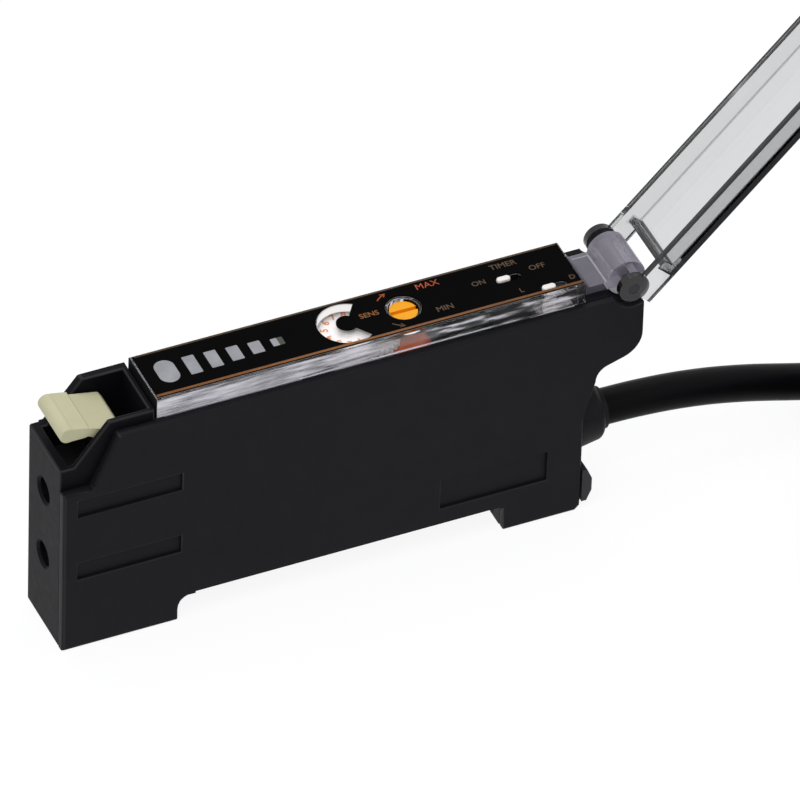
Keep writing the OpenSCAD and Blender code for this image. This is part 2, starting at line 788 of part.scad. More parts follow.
module display_lens() {
    half = lens_w / 2;
    drum_half = half - drum_inset;
    color([0.85, 0.87, 0.9, 0.5]) difference() {
        union() {
            block(lens_x0, lens_x1, -half, half, rim_h, lens_z);
            slab(-drum_half, drum_half) polygon([[lens_x1 - lens_end / 2, rim_h],
                [lens_x1 - lens_end / 2, lens_z - neck_step], [lens_x1, lens_z - neck_step],
                [lens_x1 + neck_run, rim_h + hinge_neck], [hinge[0], rim_h + hinge_neck], [hinge[0], rim_h]]);
            rod_y(hinge[0], -drum_half, drum_half, hinge_z, drum_r);
        }
        block(lens_x0 + lens_end, lens_x1 - lens_end, lens_side - half, half - lens_side,
            rim_h - past, ceiling_z);
        translate([adjust_x, 0, rim_h]) cylinder(h = past, r = adjuster_r + slide_gap);
        knob_holes(rim_h, film_top + past);
        rod_y(hinge[0], -body_w, body_w, hinge_z, hinge_pin_r + pin_gap);
    }
}

// The C-shaped window over the dial, open towards the adjuster
module dial_window() {
    difference() {
        circle(dial_r + seat_gap);
        circle(window_r);
        polygon([[0, 0], 2 * dial_r * [cos(window_gap / 2), sin(window_gap / 2)], [3 * dial_r, 0],
            2 * dial_r * [cos(window_gap / 2), -sin(window_gap / 2)]]);
    }
}

module panel_film() {
    half = lens_w / 2 - film_edge;
    color("#0c0c0e") difference() {
        block(lens_x0 + film_edge, lens_x1 - film_edge, -half, half, lens_z, film_top);
        translate([0, 0, rim_h]) linear_extrude(past) {
            indicator_shapes(0);
            translate([dial_x, 0]) dial_window();
        }
        translate([adjust_x, 0, rim_h]) cylinder(h = past, r = adjuster_r + film_clear);
        knob_holes(rim_h, film_top + past);
    }
}

module hinge_pin() {
    color("#9a9aa0") rod_y(hinge[0], -cover_w / 2, cover_w / 2, hinge_z, hinge_pin_r);
}

// The closed cover about its hinge, then swung open to its stop
heel = 0.5;
rib_w = 1;
rib_h = 0.5;

module clear_cover() {
    front = front_x + cover_front - hinge[0];
    half = cover_w / 2;
    color([0.82, 0.86, 0.9, 0.4]) translate([hinge[0], 0, hinge_z]) rotate([0, cover_open, 0]) difference() {
        union() {
            block(front, -plate_end, -half, half, cover_rise - cover_t, cover_rise);
            block(-plate_end - lip_t, -plate_end, -half, half, cover_rise - end_wall_h, cover_rise - e);
            for (s = [0, 1]) mirror([0, s, 0]) {
                block(front, heel, half - lip_t, half, cover_rise - lip_h, cover_rise - e);
                block(-ear_r, heel, half - lip_t, half, 0, cover_rise - e);
                rod_y(0, half - lip_t, half, 0, ear_r);
            }
            // Finger rib across the front end
            block(front, front + rib_w, -half, half, cover_rise - e, cover_rise + rib_h);
        }
        rod_y(0, -body_w, body_w, 0, hinge_pin_r + run_gap);
    }
}

// Direction of the cam flat in the closed lever, which faces the clamp when the lever is up
cam_low = 0.9;

// Slopes of the lever's top before its crease, over its plate and behind it, and the step at the crease
bar_slope = 15;
plate_slope = 12;
back_slope = 60;
crease_step = 0.25;
// Thickness of the plate behind the crease, and the place of its rear edge behind the pin
lever_plate = 1;
lever_back = 0.55;

// A cut of all that is above a plane which falls to the rear from a point
module fall_cut(point, slope, start) {
    translate([point[0], 0, point[1]]) rotate([0, slope, 0]) translate([start, -past, 0]) cube(2 * past);
}

module lock_lever() {
    r = finger_t / 2;
    crease = [front_x + crease_x, lever_z + crease_h];
    bar_x = front_x + lever_front + r;
    bar_z = crease[1] + (crease[0] - bar_x) * tan(bar_slope) - r / cos(bar_slope);
    step = crease - [0, crease_step];
    back_x = pin_x + lever_back;
    back = [back_x, step[1] - (back_x - step[0]) * tan(plate_slope)];
    y0 = lever_y - lever_w / 2;
    y1 = lever_y + lever_w / 2;
    color("#c6c29e") difference() {
        union() {
            rod_y(pin_x, y0, y1, lever_z, hub_r);
            rod_y(bar_x, y0, y1, bar_z, r);
            slab(y0, y1) polygon([[bar_x, bar_z + r - seat_gap / 2], crease, [pin_x + hub_r / 2, crease[1]],
                [pin_x + hub_r / 2, lever_z], [pin_x - hub_r / 2, lever_z - hub_r / 3],
                [crease[0], step[1] - lever_plate], [crease[0] - r / 2, bar_z - r + seat_gap / 2],
                [bar_x, bar_z - r + seat_gap / 2]]);
        }
        fall_cut(step, plate_slope, 0);
        fall_cut(back, back_slope, -past);
        translate([pin_x, 0, lever_z]) rotate([0, 90 - lever_open, 0]) translate([cam_low, -past, -past])
            cube(2 * past);
        rod_y(pin_x, -body_w, body_w, lever_z, lever_pin_r + run_gap);
    }
}

module lever_pin() {
    color("#a8a8ad") rod_y(pin_x, case_y + seat_gap, far_y - wall / 3 - seat_gap, lever_z, lever_pin_r);
}

// Stem of the clamp, which ends under the lever's hub
stem_gap = 0.35;
stem_size = [1.2, 2.4];
clamp_top_gap = 0.3;

module fibre_clamp() {
    plate_z = guide_top - clamp_top_gap;
    color("#5a5a60") difference() {
        union() {
            block(pin_x - clamp_t / 2, pin_x + clamp_t / 2, fibre_y - clamp_half, fibre_y + clamp_half,
                guide_z + clamp_floor + seat_gap, plate_z);
            block(pin_x - stem_size[0] / 2, pin_x + stem_size[0] / 2, fibre_y - stem_size[1] / 2,
                fibre_y + stem_size[1] / 2, plate_z - seat_gap, lever_z - hub_r - stem_gap);
        }
        for (i = [0, 1]) let (z = fibre_z + i * fibre_pitch, r = fibre_r + run_gap) {
            rod_x(pin_x - clamp_t, pin_x + clamp_t, fibre_y, z, r);
            rod_x(pin_x - clamp_t, pin_x + clamp_t, fibre_y, z - clamp_lift, r);
            block(pin_x - clamp_t, pin_x + clamp_t, fibre_y - r, fibre_y + r, z - clamp_lift, z);
        }
    }
}

// Reach of the trimmer and the gear plate round their axles
train_half = 2.4;
trimmer_front = 2.2;
shaft_floor = 0.3;
shaft_float = 0.5;

module trimmer() {
    color("#2d4c8c") difference() {
        block(adjust_x - trimmer_front, adjust_x + train_half, -train_half, train_half, board_up, plate_top);
        translate([adjust_x, 0, board_up + shaft_floor]) cylinder(h = past, r = shaft_r + run_gap);
    }
}

plate_front = 2;
shoulder = 0.15;

module gear_plate() {
    color("#d9d7cf") {
        block(dial_x - plate_front, adjust_x - trimmer_front - seat_gap, -train_half, train_half,
            board_up, plate_top);
        translate([idler_x, 0, plate_top - e]) cylinder(h = disc_z - seat_gap - plate_top, r = idler_pin_r);
        translate([dial_x, 0, plate_top - e]) cylinder(h = disc_z - plate_top, r = dial_pin_r);
        translate([dial_x, 0, plate_top - e])
            cylinder(h = level_b - seat_gap - plate_top, r = dial_pin_r + shoulder);
    }
}

function involute(a) = tan(a) * 180 / PI - a;

// One flank of a tooth from its root to its tip, as half angles about the tooth's middle
function flank(teeth, offset) = let (
    rp = gear_module * teeth / 2,
    rb = rp * cos(pressure),
    tip = rp + gear_module * (addendum + offset),
    root = rp - gear_module * (1 - offset),
    half = 90 / teeth + (2 * offset * tan(pressure) * gear_module - backlash / 2) / (2 * rp) * 180 / PI)
    concat([[root, half + involute(pressure)]],
        [for (i = [0:5]) let (r = max(rb, root) + (tip - max(rb, root)) * i / 5)
            [r, half + involute(pressure) - involute(acos(min(1, rb / r)))]]);

module gear(teeth, offset, phase) {
    side = flank(teeth, offset);
    n = len(side);
    polygon([for (t = [0:teeth - 1], i = [0:2 * n - 1])
        let (p = i < n ? side[i] : side[2 * n - 1 - i], a = phase + t * 360 / teeth + (i < n ? -p[1] : p[1]))
        p[0] * [cos(a), sin(a)]]);
}

module pinion(z) {
    translate([0, 0, z]) linear_extrude(gear_t) gear(pinion_teeth, shift, 180);
}

module wheel(z) {
    translate([0, 0, z]) linear_extrude(gear_t) gear(wheel_teeth, -shift, 180 / wheel_teeth);
}

module adjuster() {
    head_top = film_top - adjuster_drop;
    color("#f2a11c") translate([adjust_x, 0, 0]) difference() {
        union() {
            translate([0, 0, board_up + shaft_float])
                cylinder(h = disc_z + e - board_up - shaft_float, r = shaft_r);
            pinion(level_a);
            translate([0, 0, disc_z]) cylinder(h = head_top - disc_z, r = adjuster_r);
        }
        block(-adjuster_r, adjuster_r, -slot_w / 2, slot_w / 2, head_top - slot_d, head_top + past);
    }
}

module idler_gear() {
    color("#f4f2ea") translate([idler_x, 0, 0]) difference() {
        union() {
            wheel(level_a);
            translate([0, 0, level_a])
                cylinder(h = level_b - level_a + e, r = pitch_pinion - gear_module * (1 - shift));
            pinion(level_b - seat_gap);
        }
        translate([0, 0, level_a - gear_t]) cylinder(h = past, r = idler_pin_r + run_gap);
    }
}

module sensitivity_dial() {
    color("#f0eeea") translate([dial_x, 0, 0]) difference() {
        union() {
            wheel(level_b);
            translate([0, 0, disc_z - e]) cylinder(h = dial_t, r = dial_r);
        }
        translate([0, 0, plate_top]) cylinder(h = disc_z + seat_gap - plate_top, r = dial_pin_r + run_gap);
    }
}

// A slide switch: a body with a slot on top, in which its knob's foot runs
foot_size = [knob_size[0] + 0.6, knob_size[1] + 0.5];
switch_wall = 0.5;
switch_lid = 0.4;
foot_z = board_up + 1;
switch_top = board_up + switch_h;

module switch_body(pos) {
    long = foot_size[0] + knob_travel;
    x = pos[0] + knob_travel / 2;
    half_x = long / 2 + switch_wall;
    half_y = foot_size[1] / 2 + switch_wall;
    // The body stops at the side cover when its knob lies close to it
    y0 = max(pos[1] - half_y, case_y + seat_gap);
    color("#8d9096") difference() {
        block(x - half_x, x + half_x, y0, pos[1] + half_y, board_up, switch_top);
        block(x - long / 2 - slide_gap, x + long / 2 + slide_gap, pos[1] - foot_size[1] / 2 - slide_gap,
            pos[1] + foot_size[1] / 2 + slide_gap, foot_z, switch_top - switch_lid);
        long_hole([x, pos[1]], knob_hole, foot_z, switch_top + past);
    }
}

module switch_knob(pos) {
    foot_top = switch_top - switch_lid - slide_gap;
    color("#f4f2ee") {
        block(pos[0] - foot_size[0] / 2, pos[0] + foot_size[0] / 2, pos[1] - foot_size[1] / 2,
            pos[1] + foot_size[1] / 2, foot_z + seat_gap, foot_top);
        long_hole(pos, knob_size, foot_top - e, film_top + knob_proud);
    }
}

module timer_switch() {
    switch_body(timer_pos);
}

module timer_knob() {
    switch_knob(timer_pos);
}

module mode_switch() {
    switch_body(mode_pos);
}

module mode_knob() {
    switch_knob(mode_pos);
}

module rail_latch() {
    back = rear_x + latch_gap;
    half = hook_w / 2;
    room = spring_r + spring_wire + slide_gap;
    tab_z = hook_z + hook_nose;
    color("#3a3a40") difference() {
        union() {
            slab(-half, half) polygon([[latch_nose + hook_nose, hook_z], [back + e, hook_z],
                [back + e, latch_top], [foot_x + hook_nose, latch_top], [foot_x - tab_slope, hook_top],
            [latch_nose, hook_top],
                [latch_nose, hook_z + hook_nose]]);
            slab(near_y + seat_gap, far_y - seat_gap) polygon([[back, tab_z], [back + tab_t / 2, tab_z],
                [back + tab_t, tab_z + tab_slope], [back + tab_t, tab_top - tab_slope],
                [back + tab_t / 2, tab_top], [back, tab_top]]);
        }
        block(spring_x0, spring_x1 + spring_r + slide_gap, -room, room, hook_z - past, latch_top + past);
    }
}

function helix(turns, r, x0, x1, steps) = [for (i = [0:turns * steps]) let (a = 360 * i / steps)
    [x0 + (x1 - x0) * i / (turns * steps), r * cos(a), r * sin(a)]];

// A tube swept along points, its rings set across the line
module tube(points, r, sides) {
    n = len(points);
    function along(i) = let (d = points[min(i + 1, n - 1)] - points[max(i - 1, 0)]) d / norm(d);
    function across(i) = let (d = cross(along(i), [0, 0, 1])) d / norm(d);
    function over(i) = cross(across(i), along(i));
    rings = [for (i = [0:n - 1], k = [0:sides - 1]) let (a = 360 * k / sides)
        points[i] + r * (cos(a) * across(i) + sin(a) * over(i))];
    skin = [for (i = [0:n - 2], k = [0:sides - 1], half = [0, 1])
        let (a = i * sides + k, b = i * sides + (k + 1) % sides)
        half == 0 ? [a, b, b + sides] : [a, b + sides, a + sides]];
    caps = [[for (k = [sides - 1:-1:0]) k], [for (k = [0:sides - 1]) (n - 1) * sides + k]];
    polyhedron(points = rings, faces = concat(skin, caps), convexity = 8);
}

module latch_spring() {
    z = (hook_z + latch_top) / 2;
    inset = spring_wire + run_gap;
    color("#c9c9cf") translate([0, 0, z]) tube(helix(spring_turns, spring_r - spring_wire, spring_x0 + inset,
        spring_x1 - spring_r - inset, 12), spring_wire, 6);
}

// The grommet grips the rear wall between its flange and its lip
flange_over = 0.7;
flange_depth = 0.9;
lip_w = 0.6;
nose_r = 0.9;
nose_over = 1.35;
collar_t = 0.35;
collar_len = 0.6;

module grommet() {
    r = cable_d / 2;
    neck = r + neck_t;
    color("#1a1a1c") translate([rear_x, 0, cable_z]) rotate([0, 90, 0]) rotate_extrude() polygon(concat(
        [[r + run_gap, -wall - flange_depth], [neck + flange_over, -wall - flange_depth],
            [neck + flange_over, -wall], [neck, -wall], [neck, 0], [grommet_r, 0], [grommet_r, lip_w]],
        arc(r + nose_over - nose_r, grommet_len - nose_r, nose_r, 0, 90, 6),
        [[r + collar_t, grommet_len], [r + collar_t, grommet_len + collar_len],
            [r + run_gap, grommet_len + collar_len]]));
}

module cable() {
    color("#1b1b1d") tube(route, cable_d / 2, 12);
}

module cable_coil() {
    color("#1b1b1d") translate([coil_at[0], coil_at[1], coil_z]) rotate_extrude($fn = 96)
        translate([coil_in, 0]) square([coil_out - coil_in, coil_h]);
}

module coil_tie() {
    in = coil_in - seat_gap;
    out = coil_out + seat_gap;
    color("#2a2a2d") for (a = [60, 240])
        translate([coil_at[0], coil_at[1], coil_z]) rotate([0, 0, a]) difference() {
        block(in - tie_t, out + tie_t, -tie_w / 2, tie_w / 2, -seat_gap - tie_t, coil_h + seat_gap + tie_t);
        block(in, out, -tie_w, tie_w, -seat_gap, coil_h + seat_gap);
    }
}

case();
side_cover();
fibre_block();
emitter_led();
receiver_diode();
main_board();
board_chips();
board_capacitors();
display_board();
indicator_leds();
light_pipe();
display_lens();
panel_film();
hinge_pin();
clear_cover();
lock_lever();
lever_pin();
fibre_clamp();
trimmer();
gear_plate();
adjuster();
idler_gear();
sensitivity_dial();
timer_switch();
timer_knob();
mode_switch();
mode_knob();
rail_latch();
latch_spring();
grommet();
cable();
cable_coil();
coil_tie();
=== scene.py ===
# %% [markdown]
# # A fibre optic sensor amplifier
# The amplifier is a slim black box for a rail. The CAD model brings its shape, and this lesson gives it
# its looks: finishes for every part, the print on the panel, the softened edges and the wound cable.
# We load the CAD model first, because every new piece is placed from its sizes.

# %% Load the frame
import json
import math

import bmesh
import bpy
from mathutils import Matrix, Vector


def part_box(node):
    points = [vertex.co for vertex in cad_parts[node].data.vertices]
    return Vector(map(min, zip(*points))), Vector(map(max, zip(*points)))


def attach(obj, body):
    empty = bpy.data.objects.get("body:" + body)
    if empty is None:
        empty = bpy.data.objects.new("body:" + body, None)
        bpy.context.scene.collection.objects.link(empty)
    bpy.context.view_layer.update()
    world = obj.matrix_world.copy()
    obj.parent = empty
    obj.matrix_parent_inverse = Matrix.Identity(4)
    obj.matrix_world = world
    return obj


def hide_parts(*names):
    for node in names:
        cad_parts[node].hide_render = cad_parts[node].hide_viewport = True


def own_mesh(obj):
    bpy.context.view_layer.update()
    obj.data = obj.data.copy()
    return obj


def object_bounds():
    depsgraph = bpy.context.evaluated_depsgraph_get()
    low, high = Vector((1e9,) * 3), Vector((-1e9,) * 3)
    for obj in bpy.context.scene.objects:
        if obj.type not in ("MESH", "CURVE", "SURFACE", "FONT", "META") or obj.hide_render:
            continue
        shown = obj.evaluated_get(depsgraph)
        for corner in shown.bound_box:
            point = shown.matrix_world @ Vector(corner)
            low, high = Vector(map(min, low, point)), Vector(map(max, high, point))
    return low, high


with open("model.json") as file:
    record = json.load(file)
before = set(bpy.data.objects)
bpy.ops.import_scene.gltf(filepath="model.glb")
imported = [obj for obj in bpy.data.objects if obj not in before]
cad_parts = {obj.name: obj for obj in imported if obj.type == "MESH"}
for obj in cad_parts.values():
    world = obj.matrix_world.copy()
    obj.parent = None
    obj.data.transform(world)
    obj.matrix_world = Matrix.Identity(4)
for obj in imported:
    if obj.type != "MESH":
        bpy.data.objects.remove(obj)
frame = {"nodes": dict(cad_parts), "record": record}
node = frame["nodes"]
cad_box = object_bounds()
MM = 0.001
print("CAD parts:", len(node), "box in mm:", [round(1000 * v, 1) for v in cad_box[1] - cad_box[0]])

# %% [markdown]
# The camera looks from where the photo was taken. A long lens from far away keeps the long edges almost
# parallel. We could turn the camera with three angles, but a matrix built from its own right, up and back
# directions is easier to check, and it takes the small roll of the picture too.

# %% Camera
AIM = Vector((10.12, 2.74, 13.02)) * MM
AZIMUTH, ELEVATION, ROLL = -25.12, 40.97, 1.88
DISTANCE = 1.5326
FOCAL_LENGTH, SENSOR_WIDTH = 623.07, 36


def stand_camera():
    a, e, r = (math.radians(v) for v in (AZIMUTH, ELEVATION, ROLL))
    right = Vector((math.cos(a), math.sin(a), 0))
    back = Vector((math.sin(a) * math.cos(e), -math.cos(a) * math.cos(e), math.sin(e)))
    up = back.cross(right)
    rolled = right * math.cos(r) + up * math.sin(r)
    raised = up * math.cos(r) - right * math.sin(r)
    bpy.ops.object.camera_add()
    camera = bpy.context.object
    camera.name = "photo_camera"
    camera.data.lens = FOCAL_LENGTH
    camera.data.sensor_width = SENSOR_WIDTH
    turn = Matrix((rolled, raised, back)).transposed().to_4x4()
    camera.matrix_world = Matrix.Translation(AIM + back * DISTANCE) @ turn
    bpy.context.scene.camera = camera
    return camera


camera = stand_camera()
bpy.context.scene.view_settings.view_transform = "Standard"
print("camera at", [round(v, 3) for v in camera.location])

# %% [markdown]
# Finishes are node trees. Wiring nodes one by one is slow to read, so one small class wraps a socket. With
# it, `0.4 + 0.1 * noise` adds the Math nodes by itself, and `axis > 0` gives a mask.

# %% A wrapped socket
class Link:
    def __init__(self, bench, socket):
        self.bench = bench
        self.socket = socket

    def out(self, name):
        return Link(self.bench, self.socket.node.outputs[name])

    def maths(self, operation, a, b):
        return self.bench.add("ShaderNodeMath", {"operation": operation}, {0: a, 1: b})

    def __add__(self, other):
        return self.maths("ADD", self, other)

    def __radd__(self, other):
        return self.maths("ADD", other, self)

    def __sub__(self, other):
        return self.maths("SUBTRACT", self, other)

    def __rsub__(self, other):
        return self.maths("SUBTRACT", other, self)

    def __mul__(self, other):
        return self.maths("MULTIPLY", self, other)

    def __rmul__(self, other):
        return self.maths("MULTIPLY", other, self)

    def __gt__(self, other):
        return self.maths("GREATER_THAN", self, other)

    def __lt__(self, other):
        return self.maths("LESS_THAN", self, other)


print("socket wrapper:", Link.__name__)

# %% [markdown]
# A second class is the bench on which one material is made. Its `add` method places any node, sets it up
# and links it. The other methods are short names for the nodes that come up again and again: `noise` and
# `drawn_noise`, which is pulled long in one direction, `spread`, which turns one range of numbers into
# another, and `blend` and `mixed_in`, which mix colours and shaders. Patterns read Object coordinates, so
# they stay in place on the piece.

# %% A bench for finishes
class Bench:
    def __init__(self, name, surroundings=None):
        self.material = surroundings or bpy.data.materials.new(name)
        self.material.use_nodes = True
        self.tree = self.material.node_tree
        self.tree.nodes.clear()
        self.place = self.add("ShaderNodeTexCoord").out("Object")

    def add(self, kind, settings=None, sockets=None):
        made = self.tree.nodes.new(kind)
        for key, value in (settings or {}).items():
            setattr(made, key, value)
        for key, value in (sockets or {}).items():
            if isinstance(value, Link):
                self.tree.links.new(value.socket, made.inputs[key])
            else:
                made.inputs[key].default_value = value
        return Link(self, made.outputs[0]) if made.outputs else made

    def axis(self, letter):
        return self.add("ShaderNodeSeparateXYZ", None, {0: self.place}).out(letter)

    def noise(self, scale, detail):
        sockets = {"Vector": self.place, "Scale": scale, "Detail": detail}
        return self.add("ShaderNodeTexNoise", None, sockets)

    def drawn_noise(self, scales, detail):
        drawn = self.add("ShaderNodeMapping", None, {"Vector": self.place, "Scale": scales})
        return self.add("ShaderNodeTexNoise", None, {"Vector": drawn, "Scale": 1.0, "Detail": detail})

    def spread(self, value, start, stop, first, last):
        return self.add("ShaderNodeMapRange", None, {0: value, 1: start, 2: stop, 3: first, 4: last})

    def blend(self, share, a, b):
        mixed = self.add("ShaderNodeMix", {"data_type": "RGBA"}, {0: share, 6: a, 7: b})
        return mixed.out(2)

    def bump(self, height, distance, strength):
        sockets = {"Height": height, "Distance": distance, "Strength": strength}
        return self.add("ShaderNodeBump", None, sockets)

    def surface(self, sockets):
        return self.add("ShaderNodeBsdfPrincipled", None, sockets)

    def mixed_in(self, share, shader, other):
        return self.add("ShaderNodeMixShader", None, {0: share, 1: shader, 2: other})

    def finish(self, shader, volume=None):
        sockets = {"Surface": shader}
        if volume:
            sockets["Volume"] = volume
        self.add("ShaderNodeOutputMaterial", None, sockets)
        return self.material


def colour(r, g, b):
    """A colour picked on screen, 0 to 255, as the linear colour that a shader takes."""
    return tuple(((v / 255 + 0.055) / 1.055) ** 2.4 if v > 10 else v / 255 / 12.92 for v in (r, g, b)) + (1,)


print("bench ready, middle grey is", [round(v, 3) for v in colour(128, 128, 128)])

# %% [markdown]
# The stage starts with a pale floor. It looks white to the camera, also in reflections and through clear
# plastic, but a part of it is still lit by the lamps, so the shadow of the box stays on it. A brighter lamp
# would whiten the floor too, but it would bleach the box.

# %% Floor
FLOOR_SIZE = 4
FLOOR_GAP = 0.02 * MM
FLOOR_GLOW = 1.05
FLOOR_GLOW_SHARE = 0.86
WHITE = (1, 1, 1, 1)


def seen_ray(bench):
    path = bench.add("ShaderNodeLightPath")
    seen = path.out("Is Camera Ray") + path.out("Is Glossy Ray") + path.out("Is Transmission Ray")
    return seen > 0.5


def pale_floor():
    bench = Bench("pale_floor")
    tone = bench.blend(bench.noise(6, 2), (0.8, 0.8, 0.8, 1), (0.84, 0.84, 0.84, 1))
    lit = bench.add("ShaderNodeBsdfDiffuse", None, {"Color": tone})
    glow = bench.add("ShaderNodeEmission", None, {"Color": WHITE, "Strength": FLOOR_GLOW})
    return bench.finish(bench.mixed_in(seen_ray(bench) * FLOOR_GLOW_SHARE, lit, glow))


bpy.ops.object.select_all(action="DESELECT")
bpy.ops.mesh.primitive_plane_add(size=FLOOR_SIZE, location=(0, 0, cad_box[0].z - FLOOR_GAP))
floor = bpy.context.object
floor.name = "floor"
floor.data.materials.append(pale_floor())
print("floor at", round(1000 * floor.location.z, 2), "mm")

# %% [markdown]
# Black plastic shows every light as a grey veil, so the light is even and broad: a soft sky all round, a
# large lamp at the front left and a weaker one above and behind. Small hard lamps would draw bright spots
# on the gloss.

# %% Sky and lamps
SKY_TONE, SKY_LIGHT = (0.95, 0.97, 1, 1), 0.55


def soft_sky():
    bench = Bench("soft_sky", bpy.data.worlds.new("soft_sky"))
    plain = bench.add("ShaderNodeBackground", None, {"Color": SKY_TONE, "Strength": SKY_LIGHT})
    white = bench.add("ShaderNodeBackground", None, {"Color": WHITE, "Strength": 1.0})
    mixed = bench.mixed_in(seen_ray(bench), plain, white)
    bench.add("ShaderNodeOutputWorld", None, {"Surface": mixed})
    return bench.material


def soft_lamp(name, place, size, power):
    bpy.ops.object.light_add(type="AREA", location=place)
    lamp = bpy.context.object
    lamp.name = name
    lamp.data.size = size
    lamp.data.energy = power
    lamp.rotation_euler = (-Vector(place)).to_track_quat("-Z", "Y").to_euler()
    return lamp


bpy.context.scene.world = soft_sky()
lamps = [soft_lamp("key_lamp", (-0.24, -0.26, 0.66), 0.4, 2.2),
         soft_lamp("top_lamp", (0.1, 0.25, 0.7), 0.5, 1.4)]
print("lamps:", [lamp.name for lamp in lamps])

# %% [markdown]
# The cable leaves the box through its grommet, drops to the table and goes into a coil, where the rest of
# its two metres is put away. It could be swept as a mesh, but one Bezier curve with round thickness stays
# smooth and keeps its length easy to measure. The turns are laid side by side, three to a layer and four
# layers high. In the last part of each turn the cable steps over to the next place, as a hand-wound coil
# does.

# %% The cable
CABLE_R = 2.1
ROUTE = [(31, 0, 6.5), (32.5, 0, 6.5), (34.7, 0, 6.46), (37, 0, 6.4), (39.5, 0, 6.24), (42, 0, 6),
         (44.5, 0, 5.65), (47, 0, 5.2), (49.5, 0, 4.64), (52, 0, 4), (54.5, 0, 3.27), (57, 0, 2.5),
         (59.5, 0.14, 1.66), (62, 0.4, 0.9), (64.5, 0.82, 0.26), (67, 1.4, -0.2), (72, 2.55, -0.42),
         (77, 2.86, -0.4)]
COIL_AT = Vector((82, -25.4, 0))
COIL_RADII = (28.2, 24.05, 19.9)
LAYER_Z = (-0.4, 3.8, 8.0, 12.2)
STEPS = 18
STEP_OVER = 0.2
CUT_OFF = 2


def coil_place(angle, radius, z):
    a = math.radians(angle)
    return COIL_AT + Vector((radius * math.cos(a), radius * math.sin(a), z))


def coil_points():
    places = []
    for i, z in enumerate(LAYER_Z):
        radii = COIL_RADII if i % 2 == 0 else COIL_RADII[::-1]
        places += [(r, z) for r in radii]
    points = []
    for k, (r, z) in enumerate(places):
        next_r, next_z = places[min(k + 1, len(places) - 1)]
        for i in range(STEPS):
            turn = i / STEPS
            share = min(1, max(0, (turn - 1 + STEP_OVER) / STEP_OVER))
            share = share * share * (3 - 2 * share)
            points.append(coil_place(90 - 360 * turn, r + (next_r - r) * share, z + (next_z - z) * share))
    return points[:-CUT_OFF]


def new_piece(name, data):
    piece = bpy.data.objects.new(name, data)
    bpy.context.scene.collection.objects.link(piece)
    bpy.ops.object.select_all(action="DESELECT")
    piece.select_set(True)
    bpy.context.view_layer.objects.active = piece
    return piece


def cord_curve(name, points, radius):
    data = bpy.data.curves.new(name, "CURVE")
    data.dimensions = "3D"
    data.resolution_u = 5
    data.bevel_depth = 1.0
    data.bevel_resolution = 5
    data.use_fill_caps = True
    spline = data.splines.new("BEZIER")
    spline.bezier_points.add(len(points) - 1)
    for knot, point in zip(spline.bezier_points, points):
        knot.co = Vector(point) * MM
        knot.radius = radius * MM
        knot.handle_left_type = "AUTO"
        knot.handle_right_type = "AUTO"
    return new_piece(name, data)


coil = coil_points()
cable = cord_curve("cable_sheath", ROUTE + coil, CABLE_R)
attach(cable, "housing")
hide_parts("cable", "cable_coil")
print("cable:", len(ROUTE) + len(coil), "points")

# %% [markdown]
# The sheath ends in three cores, each in its own colour, with a short tinned tip. They go on along the
# coil's last turn, so they lie where the cable lies. They are made as the cable is, because a core is a thin
# cable too.

# %% The cores
CORE_R, TIP_R = 0.6, 0.28
CORES = (("core_brown", -0.75, -0.45), ("core_blue", 0.75, -0.45), ("core_black", 0, 0.75))
SHEATH_END = 90 - 360 * (STEPS - 1 - CUT_OFF) / STEPS


def past_sheath(aside, above, start, stop, count):
    angles = [SHEATH_END + start + (stop - start) * i / (count - 1) for i in range(count)]
    return [coil_place(angle, COIL_RADII[0] + aside, LAYER_Z[-1] + above) for angle in angles]


cores = []
for name, aside, above in CORES:
    cores.append(cord_curve(name, past_sheath(aside, above, 3, -24, 8), CORE_R))
    cores.append(cord_curve(name + "_tip", past_sheath(aside, above, -23.5, -33, 4), TIP_R))
for piece in cores:
    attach(piece, "housing")
print("cores:", len(cores), "pieces")

# %% [markdown]
# Most of the box is moulded plastic. Real mouldings aren't one flat colour: the surface has a fine spark
# texture, and it is a little more or less shiny from place to place. Three noises do this: a wide one for
# the colour, a middle one for the shine and a very fine one for the bumps. All mouldings share the recipe,
# so a table gives each its name, its dark and light colour, its roughness and its level of gloss.

# %% Moulded plastics
SPARK_DEPTH = 0.04 * MM


def moulded(name, dark, light, rough, level, spark=0.25, spark_scale=9000):
    bench = Bench(name)
    shader = bench.surface({
        "Base Color": bench.blend(bench.noise(260, 3), colour(*dark), colour(*light)),
        "Roughness": rough - 0.06 + 0.12 * bench.noise(900, 2),
        "Specular IOR Level": level,
        "Normal": bench.bump(bench.noise(spark_scale, 2), SPARK_DEPTH, spark)})
    return bench.finish(shader)


